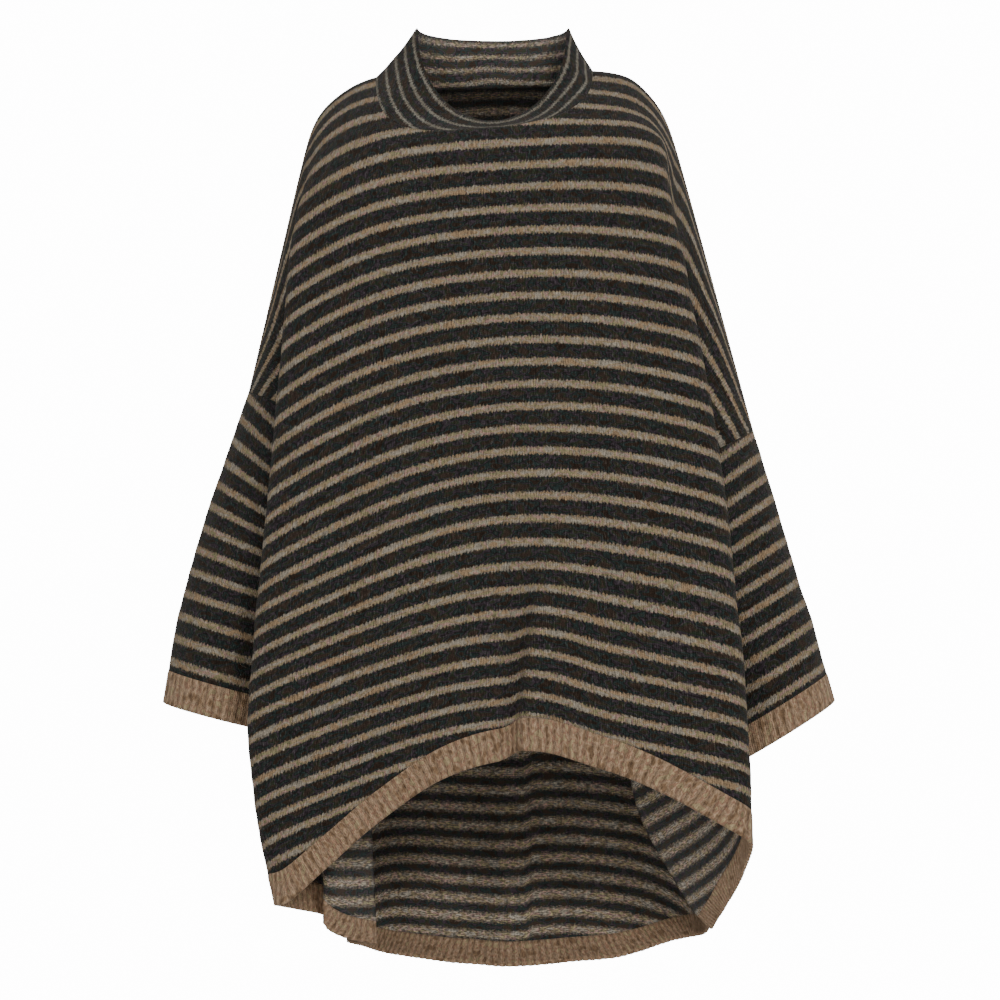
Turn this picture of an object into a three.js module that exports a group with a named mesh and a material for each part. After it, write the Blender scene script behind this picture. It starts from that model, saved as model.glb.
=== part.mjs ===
// A knitted poncho sweater, worn and hollow: front, back, two sleeves, a funnel collar, and ribbed bands.
// Millimetres, +Z up, the front toward -Y, and the wearer's left toward +X.
// The origin is the middle of the neck at the height of the shoulders.
import * as THREE from "three";

// Cloth and seams
const clothThickness = 3;
const seamGap = 0.3;
const ribHeight = 0.9;
const ribPitch = 7;

// Cut of the body, in flat millimetres down from the shoulder line
const armholeDepth = 205;
const frontNeckDepth = 88;
const backNeckDepth = 26;
const bandHeight = 33;
const cuffShare = 0.1;

// Grid steps
const rowsBesideArm = 8;
const rowsBelowArm = 12;
const panelRows = rowsBesideArm + rowsBelowArm;
const sleeveRows = 9;
const collarRows = 5;
const sleeveColumns = 28;
const cuffRibs = 47;
const ribSamples = 700;
const bandTopRow = -2;
const bandBottomRow = -1;
const foldEase = 1;
const easeStart = 2;
const easeEnd = 4;

const charcoal = 0x2f2c2d;
const camel = 0x8a6c4d;

// Stations across a panel run from the right seam (0) past the centre (7) to the left seam (14)
const lastStation = 14;
const neckRightStation = 5.75;
const neckLeftStation = 7.87;

// The middle of the front and of the back, down the cloth
const frontCentre = [
  { course: 0, y: 0, z: 8 },
  { course: 50, y: -68, z: -26 },
  { course: 95, y: -106, z: -62 },
  { course: 140, y: -116, z: -106 },
  { course: 205, y: -120, z: -168 },
  { course: 280, y: -122, z: -240 },
  { course: 390, y: -124, z: -345 },
  { course: 500, y: -126, z: -450 },
  { course: 610, y: -127, z: -555 },
  { course: 720, y: -124, z: -660 },
  { course: 830, y: -118, z: -765 },
  { course: 940, y: -110, z: -868 },
  { course: 1010, y: -104, z: -936 },
];
const backCentre = [
  { course: 0, y: 0, z: 8 },
  { course: 50, y: 68, z: -12 },
  { course: 95, y: 100, z: -44 },
  { course: 140, y: 110, z: -86 },
  { course: 205, y: 116, z: -149 },
  { course: 280, y: 120, z: -222 },
  { course: 390, y: 126, z: -329 },
  { course: 500, y: 134, z: -436 },
  { course: 610, y: 142, z: -543 },
  { course: 720, y: 148, z: -648 },
  { course: 830, y: 140, z: -748 },
  { course: 940, y: 108, z: -846 },
  { course: 1010, y: 72, z: -906 },
];

// Sizes of each side. Across stands for the distance from the middle, and drop for how far a course hangs
// lower there than at the centre. Crest is the fold beside the arm, with a front and a rear line.
const rightSide = {
  sign: -1,
  shoulder: { across: 188, z: -46 },
  shoulderOffset: { across: 32, z: 20 },
  armholeTop: { across: 250, z: -312 },
  armholeUnder: { across: 150, z: -350 },
  front: [
    { course: 0, middle: -1, face: 160, faceY: 0, faceDrop: 22, rear: 184, rearY: 0, rearDrop: 46 },
    { course: 50, middle: 8, face: 166, faceY: -52, faceDrop: 28, rear: 185, rearY: -46, rearDrop: 54 },
    { course: 95, middle: 12, face: 193, faceY: -90, faceDrop: 58, rear: 197, rearY: -73, rearDrop: 70 },
    { course: 140, middle: 15, face: 206, faceY: -104, faceDrop: 66, rear: 206, rearY: -80, rearDrop: 76 },
    { course: 205, middle: 17, face: 213, faceY: -110, faceDrop: 72, rear: 213, rearY: -84, rearDrop: 82 },
    { course: 280, middle: 19, face: 220, faceY: -112, faceDrop: 78, rear: 220, rearY: -86, rearDrop: 88 },
    { course: 390, middle: 24, face: 230, faceY: -114, faceDrop: 86, rear: 230, rearY: -88, rearDrop: 96 },
    { course: 500, middle: 31, face: 241, faceY: -114, faceDrop: 88, rear: 241, rearY: -88, rearDrop: 98 },
    { course: 610, middle: 30, face: 247, faceY: -114, faceDrop: 80, rear: 247, rearY: -88, rearDrop: 92 },
    { course: 720, middle: 27, face: 236, faceY: -113, faceDrop: 74, rear: 236, rearY: -88, rearDrop: 86 },
    { course: 830, middle: 25, face: 215, faceY: -112, faceDrop: 70, rear: 215, rearY: -86, rearDrop: 82 },
    { course: 1010, middle: 25, face: 200, faceY: -108, faceDrop: 66, rear: 200, rearY: -84, rearDrop: 78 },
  ],
  back: [
    { course: 0, middle: -1, face: 160, faceY: 0, faceDrop: 22, rear: 184, rearY: 0, rearDrop: 46 },
    { course: 50, middle: 8, face: 166, faceY: 52, faceDrop: 42, rear: 185, rearY: 46, rearDrop: 68 },
    { course: 95, middle: 10, face: 184, faceY: 84, faceDrop: 44, rear: 192, rearY: 70, rearDrop: 62 },
    { course: 140, middle: 12, face: 194, faceY: 96, faceDrop: 48, rear: 198, rearY: 74, rearDrop: 60 },
    { course: 205, middle: 14, face: 200, faceY: 102, faceDrop: 56, rear: 202, rearY: 76, rearDrop: 66 },
    { course: 280, middle: 16, face: 202, faceY: 106, faceDrop: 60, rear: 203, rearY: 78, rearDrop: 70 },
    { course: 390, middle: 18, face: 200, faceY: 110, faceDrop: 64, rear: 202, rearY: 80, rearDrop: 74 },
    { course: 500, middle: 18, face: 196, faceY: 112, faceDrop: 64, rear: 198, rearY: 82, rearDrop: 76 },
    { course: 610, middle: 18, face: 188, faceY: 114, faceDrop: 62, rear: 192, rearY: 82, rearDrop: 76 },
    { course: 720, middle: 16, face: 176, faceY: 114, faceDrop: 58, rear: 180, rearY: 80, rearDrop: 74 },
    { course: 830, middle: 12, face: 158, faceY: 98, faceDrop: 52, rear: 163, rearY: 62, rearDrop: 70 },
    { course: 1010, middle: 8, face: 138, faceY: 46, faceDrop: 40, rear: 144, rearY: 14, rearDrop: 56 },
  ],
  seam: [
    { course: 205, across: 150, y: 4, drop: 182 },
    { course: 221, across: 143, y: 6, drop: 180 },
    { course: 280, across: 142, y: 14, drop: 175 },
    { course: 390, across: 146, y: 24, drop: 161 },
    { course: 500, across: 142, y: 24, drop: 148 },
    { course: 610, across: 134, y: 14, drop: 136 },
    { course: 720, across: 128, y: 6, drop: 125 },
    { course: 830, across: 124, y: 2, drop: 116 },
    { course: 1010, across: 120, y: 0, drop: 104 },
  ],
  frontSide: [
    { course: 280, wall: 164, wallY: -58, pocket: 152, pocketY: -34, fold: 147, foldY: -8 },
    { course: 390, wall: 182, wallY: -50, pocket: 162, pocketY: -24, fold: 156, foldY: -12 },
    { course: 500, wall: 198, wallY: -50, pocket: 165, pocketY: -14, fold: 168, foldY: -38 },
    { course: 610, wall: 209, wallY: -48, pocket: 165, pocketY: -10, fold: 178, foldY: -66 },
    { course: 720, wall: 209, wallY: -44, pocket: 162, pocketY: -10, fold: 184, foldY: -76 },
    { course: 830, wall: 204, wallY: -42, pocket: 160, pocketY: -14, fold: 184, foldY: -78 },
    { course: 1010, wall: 200, wallY: -40, pocket: 158, pocketY: -14, fold: 182, foldY: -78 },
  ],
  backSide: [
    { course: 280, wall: 166, wallY: 62, pocket: 152, pocketY: 44, fold: 148, foldY: 28 },
    { course: 390, wall: 175, wallY: 63, pocket: 157, pocketY: 50, fold: 150, foldY: 36 },
    { course: 500, wall: 175, wallY: 63, pocket: 157, pocketY: 50, fold: 147, foldY: 37 },
    { course: 610, wall: 169, wallY: 62, pocket: 151, pocketY: 46, fold: 140, foldY: 30 },
    { course: 720, wall: 160, wallY: 58, pocket: 144, pocketY: 40, fold: 134, foldY: 22 },
    { course: 830, wall: 148, wallY: 46, pocket: 136, pocketY: 30, fold: 129, foldY: 16 },
    { course: 1010, wall: 134, wallY: 12, pocket: 127, pocketY: 8, fold: 122, foldY: 4 },
  ],
  sleeve: [
    { along: 0, outer: 250, outerZ: -312, inner: 150, innerZ: -350, depth: 64, y: 4 },
    { along: 0.35, outer: 287, outerZ: -420, inner: 172, innerZ: -456, depth: 60, y: 3 },
    { along: 0.68, outer: 317, outerZ: -520, inner: 196, innerZ: -556, depth: 53, y: 1 },
    { along: 1, outer: 335, outerZ: -622, inner: 217, innerZ: -652, depth: 46, y: -2 },
  ],
};
const leftSide = {
  sign: 1,
  shoulder: { across: 168, z: -42 },
  shoulderOffset: { across: 32, z: 20 },
  armholeTop: { across: 252, z: -351 },
  armholeUnder: { across: 150, z: -402 },
  front: [
    { course: 0, middle: -2, face: 140, faceY: 0, faceDrop: 14, rear: 163, rearY: 0, rearDrop: 40 },
    { course: 50, middle: 2, face: 148, faceY: -54, faceDrop: 16, rear: 166, rearY: -48, rearDrop: 42 },
    { course: 95, middle: 0, face: 160, faceY: -92, faceDrop: 10, rear: 163, rearY: -72, rearDrop: 24 },
    { course: 140, middle: 0, face: 166, faceY: -106, faceDrop: 10, rear: 166, rearY: -82, rearDrop: 22 },
    { course: 205, middle: 1, face: 181, faceY: -110, faceDrop: 15, rear: 181, rearY: -86, rearDrop: 25 },
    { course: 280, middle: 2, face: 196, faceY: -112, faceDrop: 20, rear: 196, rearY: -87, rearDrop: 30 },
    { course: 390, middle: 4, face: 216, faceY: -114, faceDrop: 28, rear: 216, rearY: -88, rearDrop: 38 },
    { course: 500, middle: 8, face: 229, faceY: -114, faceDrop: 34, rear: 229, rearY: -88, rearDrop: 44 },
    { course: 610, middle: 13, face: 240, faceY: -114, faceDrop: 39, rear: 240, rearY: -88, rearDrop: 50 },
    { course: 720, middle: 15, face: 245, faceY: -113, faceDrop: 40, rear: 245, rearY: -88, rearDrop: 52 },
    { course: 830, middle: 16, face: 247, faceY: -112, faceDrop: 42, rear: 247, rearY: -86, rearDrop: 54 },
    { course: 1010, middle: 16, face: 247, faceY: -108, faceDrop: 44, rear: 247, rearY: -84, rearDrop: 56 },
  ],
  back: [
    { course: 0, middle: -2, face: 140, faceY: 0, faceDrop: 14, rear: 163, rearY: 0, rearDrop: 40 },
    { course: 50, middle: 4, face: 148, faceY: 54, faceDrop: 30, rear: 166, rearY: 48, rearDrop: 56 },
    { course: 95, middle: 6, face: 166, faceY: 86, faceDrop: 34, rear: 176, rearY: 70, rearDrop: 52 },
    { course: 140, middle: 8, face: 182, faceY: 96, faceDrop: 38, rear: 188, rearY: 74, rearDrop: 52 },
    { course: 205, middle: 10, face: 194, faceY: 102, faceDrop: 44, rear: 197, rearY: 76, rearDrop: 56 },
    { course: 280, middle: 12, face: 200, faceY: 106, faceDrop: 48, rear: 202, rearY: 78, rearDrop: 58 },
    { course: 390, middle: 12, face: 200, faceY: 112, faceDrop: 50, rear: 203, rearY: 81, rearDrop: 62 },
    { course: 500, middle: 12, face: 202, faceY: 114, faceDrop: 50, rear: 205, rearY: 83, rearDrop: 64 },
    { course: 610, middle: 11, face: 205, faceY: 116, faceDrop: 48, rear: 210, rearY: 84, rearDrop: 64 },
    { course: 720, middle: 10, face: 205, faceY: 114, faceDrop: 44, rear: 211, rearY: 82, rearDrop: 62 },
    { course: 830, middle: 8, face: 196, faceY: 98, faceDrop: 38, rear: 203, rearY: 70, rearDrop: 58 },
    { course: 1010, middle: 6, face: 184, faceY: 50, faceDrop: 28, rear: 190, rearY: 26, rearDrop: 46 },
  ],
  seam: [
    { course: 205, across: 150, y: 4, drop: 234 },
    { course: 221, across: 143, y: 6, drop: 231 },
    { course: 280, across: 140, y: 14, drop: 222 },
    { course: 390, across: 136, y: 22, drop: 205 },
    { course: 500, across: 128, y: 26, drop: 190 },
    { course: 610, across: 139, y: 22, drop: 174 },
    { course: 720, across: 181, y: 26, drop: 150 },
    { course: 830, across: 222, y: 38, drop: 116 },
    { course: 1010, across: 250, y: 50, drop: 90 },
  ],
  frontSide: [
    { course: 280, wall: 162, wallY: -58, pocket: 150, pocketY: -34, fold: 145, foldY: -8 },
    { course: 390, wall: 182, wallY: -52, pocket: 162, pocketY: -30, fold: 148, foldY: -6 },
    { course: 500, wall: 203, wallY: -57, pocket: 176, pocketY: -36, fold: 150, foldY: -8 },
    { course: 610, wall: 222, wallY: -58, pocket: 196, pocketY: -36, fold: 166, foldY: -8 },
    { course: 720, wall: 234, wallY: -58, pocket: 217, pocketY: -30, fold: 199, foldY: -2 },
    { course: 830, wall: 243, wallY: -58, pocket: 237, pocketY: -28, fold: 230, foldY: 6 },
    { course: 1010, wall: 248, wallY: -56, pocket: 250, pocketY: -26, fold: 251, foldY: 12 },
  ],
  backSide: [
    { course: 280, wall: 166, wallY: 62, pocket: 151, pocketY: 44, fold: 146, foldY: 28 },
    { course: 390, wall: 174, wallY: 64, pocket: 154, pocketY: 50, fold: 142, foldY: 36 },
    { course: 500, wall: 177, wallY: 65, pocket: 154, pocketY: 51, fold: 138, foldY: 38 },
    { course: 610, wall: 182, wallY: 66, pocket: 162, pocketY: 52, fold: 148, foldY: 37 },
    { course: 720, wall: 202, wallY: 66, pocket: 193, pocketY: 53, fold: 187, foldY: 40 },
    { course: 830, wall: 205, wallY: 60, pocket: 208, pocketY: 52, fold: 211, foldY: 45 },
    { course: 1010, wall: 204, wallY: 34, pocket: 214, pocketY: 40, fold: 230, foldY: 46 },
  ],
  sleeve: [
    { along: 0, outer: 252, outerZ: -351, inner: 150, innerZ: -402, depth: 64, y: 4 },
    { along: 0.35, outer: 280, outerZ: -444, inner: 172, innerZ: -502, depth: 60, y: 3 },
    { along: 0.68, outer: 308, outerZ: -534, inner: 196, innerZ: -600, depth: 53, y: 1 },
    { along: 1, outer: 333, outerZ: -621, inner: 216, innerZ: -692, depth: 46, y: -2 },
  ],
};

// Where each course leaves the chest for the arm, as a share of the way down the upper arm
const armStart = [
  { course: 0, share: 0.1 },
  { course: 50, share: 0.15 },
  { course: 95, share: 0.3 },
  { course: 140, share: 0.55 },
  { course: 205, share: 0.78 },
];

// The hem of each panel, as the course that it ends at under each station
const frontHem = [
  { station: 0, course: 820 },
  { station: 0.5, course: 811 },
  { station: 1, course: 799 },
  { station: 1.5, course: 791 },
  { station: 3, course: 789 },
  { station: 4, course: 796 },
  { station: 4.5, course: 802 },
  { station: 5, course: 806 },
  { station: 5.5, course: 791 },
  { station: 6, course: 764 },
  { station: 6.5, course: 738 },
  { station: 7, course: 726 },
  { station: 7.5, course: 724 },
  { station: 8, course: 731 },
  { station: 9, course: 764 },
  { station: 10, course: 768 },
  { station: 11, course: 767 },
  { station: 12, course: 773 },
  { station: 13, course: 788 },
  { station: 14, course: 800 },
];
const backHem = [
  { station: 0, course: 820 },
  { station: 1, course: 834 },
  { station: 2, course: 847 },
  { station: 3, course: 868 },
  { station: 4, course: 897 },
  { station: 5, course: 930 },
  { station: 6, course: 977 },
  { station: 7, course: 1001 },
  { station: 8, course: 984 },
  { station: 9, course: 937 },
  { station: 10, course: 904 },
  { station: 11, course: 868 },
  { station: 12, course: 839 },
  { station: 13, course: 817 },
  { station: 14, course: 800 },
];

// The hem of the back rolls forward and up, and so does the front's beside each side seam
const hemRoll = { reach: 55, forward: 16, lift: 10, seamOnly: 0.6, gone: 2.2, most: 1.2 };

// Soft folds of the front and the back: where they run, how wide, and how deep the trough is
const frontFolds = [
  { top: 500, bottom: 760, topX: 30, bottomX: 10, width: 15, depth: 15 },
  { top: 150, bottom: 520, topX: -90, bottomX: -70, width: 34, depth: 4 },
  { top: 220, bottom: 620, topX: 95, bottomX: 130, width: 30, depth: -5 },
  { top: 420, bottom: 790, topX: -150, bottomX: -130, width: 30, depth: 5 },
];
const backFolds = [
  { top: 560, bottom: 1000, topX: 20, bottomX: 8, width: 26, depth: 12 },
  { top: 240, bottom: 900, topX: -110, bottomX: -80, width: 34, depth: 9 },
  { top: 200, bottom: 880, topX: 96, bottomX: 110, width: 36, depth: 10 },
  { top: 120, bottom: 620, topX: -10, bottomX: -30, width: 40, depth: 7 },
];
const sleeveFolds = [
  { angle: 0.9, twist: 0.5, top: 0.1, bottom: 0.8, width: 0.35, share: 0.07 },
  { angle: 2.3, twist: -0.4, top: 0.2, bottom: 1, width: 0.3, share: 0.06 },
  { angle: 4.6, twist: 0.6, top: 0.1, bottom: 0.9, width: 0.4, share: 0.08 },
];

// How a fold comes in and dies out along the cloth, and the stations where the flat faces fade to the sides
const foldGrow = { before: 40, after: 120, toHem: 700 };
const faceFade = { rightOut: 4, rightIn: 5.2, leftIn: 8.8, leftOut: 10 };

// How much lower the stripes hang beside the middle fold than in it
const fall = { start: 500, growth: 150, height: 8, edge: 16, reach: 90 };

// How a sleeve's dent comes in and dies out, as shares of the sleeve
const dentGrow = { before: 0.12, after: 0.12, early: 0.15, late: 0.1 };
const dentFade = { armhole: 0.15, cuffStart: 0.8, cuffEnd: 0.97 };

// The funnel collar's rim
const rim = {
  middleX: -7.5,
  halfWidth: 75.5,
  frontDepth: 52,
  backDepth: 62,
  cornerZ: 51,
  frontFall: 98,
  backFall: 6,
  baseShift: 2,
};
const collarDip = 2;

// The neckline's curve, from a point at the shoulder seam to a flat bottom
const neckCurve = { inner: 2.4, outer: 0.45 };

// The panel beside its middle: where it turns, and how much of the face's fall it has there
const middleAcross = 118;
const middleFallShare = 0.2;

// How the cloth clears itself under the arm, and how much less deep the shoulder is than the armhole
const underarmClear = 0.3;
const underarmLift = 3.6;
const underarmRow = 16;
const shoulderEase = 14;
const crestDropShares = [0.45, 0.68, 0.85];

// Small steps that a slope is measured over
const stationStep = 0.01;
const neckStep = 0.004;
const courseStep = 1;
const angleStep = 0.01;
const shareStep = 0.02;
const seamInset = 0.02;
const firstCourse = 1.5;
const neckInset = 2;

// Helpers for smooth tables and vectors

function smoothColumn(rows, by, column, at) {
  const last = rows.length - 1;
  if (at <= rows[0][by]) return rows[0][column];
  if (at >= rows[last][by]) return rows[last][column];
  let i = 0;
  while (rows[i + 1][by] < at) i += 1;
  const slope = (k) => {
    const low = Math.max(k - 1, 0);
    const high = Math.min(k + 1, last);
    return (rows[high][column] - rows[low][column]) / (rows[high][by] - rows[low][by]);
  };
  const span = rows[i + 1][by] - rows[i][by];
  const t = (at - rows[i][by]) / span;
  const startShare = (1 + 2 * t) * (1 - t) * (1 - t);
  const endShare = t * t * (3 - 2 * t);
  const startPull = t * (1 - t) * (1 - t) * span * slope(i);
  const endPull = t * t * (t - 1) * span * slope(i + 1);
  return startShare * rows[i][column] + endShare * rows[i + 1][column] + startPull + endPull;
}

function ramp(low, high, at) {
  const t = Math.min(Math.max((at - low) / (high - low), 0), 1);
  return t * t * (3 - 2 * t);
}

function vector(x, y, z) {
  return new THREE.Vector3(x, y, z);
}

function moved(point, direction, distance) {
  return point.clone().addScaledVector(direction, distance);
}

// The armhole and the upper arm: turn 0 is the overarm, a quarter the front, a half the underarm

function armholePoint(side, turn, backward) {
  const top = side.armholeTop;
  const under = side.armholeUnder;
  const first = side.sleeve[0];
  const angle = Math.PI * turn;
  const face = backward ? 1 : -1;
  const across = (top.across + under.across) / 2 + ((top.across - under.across) / 2) * Math.cos(angle);
  const z = (top.z + under.z) / 2 + ((top.z - under.z) / 2) * Math.cos(angle);
  return vector(side.sign * across, first.y + face * first.depth * Math.sin(angle), z);
}

function upperArmPoint(side, share, turn, backward) {
  const end = armholePoint(side, turn, backward);
  const angle = Math.PI * turn;
  const face = backward ? 1 : -1;
  const offset = side.shoulderOffset;
  const reach = Math.cos(angle) - 1;
  const start = vector(
    side.sign * (side.shoulder.across + offset.across * reach),
    face * (side.sleeve[0].depth - shoulderEase) * Math.sin(angle),
    side.shoulder.z + offset.z * reach,
  );
  return start.lerp(end, share);
}

// One side's control points at one course, from the middle of the panel (1) to the seam (7)

function centreRow(backward, course) {
  const rows = backward ? backCentre : frontCentre;
  return { y: smoothColumn(rows, "course", "y", course), z: smoothColumn(rows, "course", "z", course) };
}

function seamPoint(side, course) {
  if (course <= armholeDepth) return armholePoint(side, course / armholeDepth, false);
  const across = smoothColumn(side.seam, "course", "across", course);
  const y = smoothColumn(side.seam, "course", "y", course);
  const drop = smoothColumn(side.seam, "course", "drop", course);
  return vector(side.sign * across, y, centreRow(false, course).z - drop);
}

function crestRow(side, backward, course) {
  const rows = backward ? side.back : side.front;
  const read = (column) => smoothColumn(rows, "course", column, course);
  return {
    middle: read("middle"),
    face: read("face"),
    faceY: read("faceY"),
    faceDrop: read("faceDrop"),
    rear: read("rear"),
    rearY: read("rearY"),
    rearDrop: read("rearDrop"),
  };
}

function sidePoint(side, backward, name, order, course) {
  const rows = backward ? side.backSide : side.frontSide;
  const crest = crestRow(side, backward, course);
  const centre = centreRow(backward, course);
  const start = centre.z - crest.rearDrop;
  const end = seamPoint(side, course).z;
  const across = smoothColumn(rows, "course", name, course);
  const y = smoothColumn(rows, "course", name + "Y", course);
  return vector(side.sign * across, y, start + (end - start) * crestDropShares[order]);
}

function armPoint(side, backward, order, course) {
  const start = smoothColumn(armStart, "course", "share", course);
  const outward = order / 3;
  const turn = (course / armholeDepth) * (1 - underarmClear * (1 - outward));
  return upperArmPoint(side, start + (1 - start) * outward, turn, backward);
}

const sideColumns = ["wall", "pocket", "fold"];
const armCourses = [0, 50, 95, 140, 175, 205];
const sideCourses = [280, 390, 500, 610, 720, 830, 1010];

function outerStations(side, backward) {
  return sideColumns.map((name, order) => {
    const onArm = armCourses.map((course) => ({ course, ...armPoint(side, backward, order, course) }));
    const below = sideCourses.map((course) => ({ course, ...sidePoint(side, backward, name, order, course) }));
    return onArm.concat(below);
  });
}

function panelSide(side, backward) {
  const stations = outerStations(side, backward);
  const along = (rows, course) =>
    vector(
      smoothColumn(rows, "course", "x", course),
      smoothColumn(rows, "course", "y", course),
      smoothColumn(rows, "course", "z", course),
    );
  return (course) => {
    const centre = centreRow(backward, course);
    const crest = crestRow(side, backward, course);
    const middleY = centre.y + (crest.faceY - centre.y) * middleFallShare;
    const edge = course <= armholeDepth && backward
      ? armholePoint(side, course / armholeDepth, true)
      : seamPoint(side, course);
    return [
      vector(side.sign * middleAcross, middleY, centre.z - crest.middle),
      vector(side.sign * crest.face, crest.faceY, centre.z - crest.faceDrop),
      vector(side.sign * crest.rear, crest.rearY, centre.z - crest.rearDrop),
      along(stations[0], course),
      along(stations[1], course),
      along(stations[2], course),
      edge,
    ];
  };
}

// A panel's surface: a smooth curve across through the stations, at each course

function splineAt(points, station) {
  const first = moved(points[0].clone().multiplyScalar(2), points[1], -1);
  const end = points[lastStation];
  const last = moved(end.clone().multiplyScalar(2), points[lastStation - 1], -1);
  const all = [first, ...points, last];
  const i = Math.min(Math.floor(station), lastStation - 1);
  const t = station - i;
  const weights = [
    ((1 - t) ** 3) / 6,
    (3 * t ** 3 - 6 * t ** 2 + 4) / 6,
    (-3 * t ** 3 + 3 * t ** 2 + 3 * t + 1) / 6,
    t ** 3 / 6,
  ];
  const sum = vector(0, 0, 0);
  weights.forEach((weight, k) => sum.addScaledVector(all[i + k], weight));
  return sum;
}

function foldDepth(folds, x, course) {
  let depth = 0;
  for (const fold of folds) {
    const share = Math.min(Math.max((course - fold.top) / (fold.bottom - fold.top), 0), 1);
    const line = fold.topX + (fold.bottomX - fold.topX) * share;
    const grow = ramp(fold.top - foldGrow.before, fold.top + foldGrow.after, course);
    const end = ramp(fold.bottom - foldGrow.after, fold.bottom + foldGrow.before, course);
    const fade = fold.bottom > foldGrow.toHem ? 1 : 1 - end;
    depth += fold.depth * grow * fade * Math.exp(-(((x - line) / fold.width) ** 2));
  }
  return depth;
}

function centreFall(x, course) {
  const fold = frontFolds[0];
  const share = Math.min(Math.max((course - fold.top) / (fold.bottom - fold.top), 0), 1);
  const line = fold.topX + (fold.bottomX - fold.topX) * share;
  const beside = ramp(-fall.edge, fall.edge, x - line) * (1 - ramp(fall.edge, fall.reach, x - line));
  return fall.height * ramp(fall.start, fall.start + fall.growth, course) * beside;
}

function hemCourse(backward, station) {
  return smoothColumn(backward ? backHem : frontHem, "station", "course", station);
}

function rollShare(backward, station, course) {
  const fromSeam = Math.min(station, lastStation - station);
  const weight = backward ? 1 : 1 - ramp(hemRoll.seamOnly, hemRoll.gone, fromSeam);
  const near = 1 - (hemCourse(backward, station) - course) / hemRoll.reach;
  return weight * Math.min(Math.max(near, 0), hemRoll.most) ** 2;
}

function makePanel(backward) {
  const right = panelSide(rightSide, backward);
  const left = panelSide(leftSide, backward);
  const facing = backward ? 1 : -1;
  const folds = backward ? backFolds : frontFolds;
  return (station, course) => {
    const centre = centreRow(backward, course);
    const middle = vector(0, centre.y, centre.z);
    const points = [...right(course).reverse(), middle, ...left(course)];
    const point = splineAt(points, station);
    const fromRight = ramp(faceFade.rightOut, faceFade.rightIn, station);
    const onFace = fromRight * (1 - ramp(faceFade.leftIn, faceFade.leftOut, station));
    point.y -= facing * onFace * foldDepth(folds, point.x, course);
    if (!backward) point.z += onFace * centreFall(point.x, course);
    const rolled = rollShare(backward, station, course);
    point.y -= hemRoll.forward * rolled;
    point.z += hemRoll.lift * rolled;
    return point;
  };
}

const frontPoint = makePanel(false);
const backPoint = makePanel(true);

function normalOf(surface, u, v, du, dv) {
  const alongU = surface(u + du, v).sub(surface(u - du, v));
  const alongV = surface(u, v + dv).sub(surface(u, v - dv));
  return alongU.cross(alongV).normalize();
}

function neckCourse(backward, station) {
  const middle = (neckLeftStation + neckRightStation) / 2;
  const half = (neckLeftStation - neckRightStation) / 2;
  const q = Math.min(Math.abs(station - middle) / half, 1);
  const depth = backward ? backNeckDepth : frontNeckDepth;
  return depth * (1 - q ** neckCurve.inner) ** neckCurve.outer;
}

// Frames of the seams that two pieces share: a point, a normal and the direction across the seam

function sideSeamFrame(side, course) {
  const station = side.sign < 0 ? 0 : lastStation;
  const inward = side.sign < 0 ? seamInset : -seamInset;
  const near = station + inward;
  const frontNormal = normalOf(frontPoint, near, course, stationStep, courseStep).negate();
  const backNormal = normalOf(backPoint, near, course, stationStep, courseStep);
  const normal = frontNormal.add(backNormal).normalize();
  const down = frontPoint(station, course + courseStep).sub(frontPoint(station, course - courseStep)).normalize();
  const across = down.clone().cross(normal).multiplyScalar(-side.sign).normalize();
  normal.copy(across).cross(down).multiplyScalar(-side.sign).normalize();
  return { normal, across };
}

function neckPoint(backward, station) {
  const surface = backward ? backPoint : frontPoint;
  return surface(station, neckCourse(backward, station));
}

function rimPoint(base) {
  const turn = Math.atan2(base.y, base.x - (rim.middleX - rim.baseShift));
  const rise = Math.sin(turn);
  const x = rim.middleX + rim.halfWidth * Math.cos(turn);
  if (rise < 0) return vector(x, rim.frontDepth * rise, rim.cornerZ + rim.frontFall * rise);
  return vector(x, rim.backDepth * rise, rim.cornerZ - rim.backFall * rise);
}

// The seam between the neckline and the collar: both pieces end square to it
function neckFrame(backward, station) {
  const facing = backward ? 1 : -1;
  const atCorner = station <= neckRightStation || station >= neckLeftStation;
  const base = neckPoint(backward, station);
  const ahead = neckPoint(backward, station + neckStep);
  const behind = neckPoint(backward, station - neckStep);
  const tangent = atCorner
    ? vector(0, station <= neckRightStation ? -1 : 1, 0)
    : ahead.sub(behind).multiplyScalar(-facing);
  tangent.normalize();
  const surface = backward ? backPoint : frontPoint;
  const below = neckCourse(backward, station) + neckInset;
  const panelNormal = normalOf(surface, station, below, stationStep, courseStep).multiplyScalar(facing);
  if (atCorner) panelNormal.y = 0;
  const up = rimPoint(base).sub(base).normalize();
  const collarNormal = up.clone().cross(tangent).multiplyScalar(-1).normalize();
  const normal = panelNormal.normalize().add(collarNormal).normalize();
  const away = tangent.clone().cross(normal).normalize();
  if (away.dot(up) > 0) away.negate();
  normal.sub(tangent.clone().multiplyScalar(normal.dot(tangent))).normalize();
  return { base, normal, away };
}

function armholeFrame(side, turn, backward) {
  const top = armholePoint(side, 0, false);
  const under = armholePoint(side, 1, false);
  const centre = top.clone().add(under).multiplyScalar(0.5);
  const span = top.clone().sub(under);
  const along = span.clone().cross(vector(0, side.sign, 0)).normalize();
  const ahead = armholePoint(side, turn + stationStep, backward);
  const behind = armholePoint(side, turn - stationStep, backward);
  const tangent = ahead.sub(behind).normalize();
  const normal = tangent.clone().cross(along).normalize();
  const outward = armholePoint(side, turn, backward).sub(centre);
  if (normal.dot(outward) < 0) normal.negate();
  return { normal, along };
}

// Walls: two grids of points, closed along their edges

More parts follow.
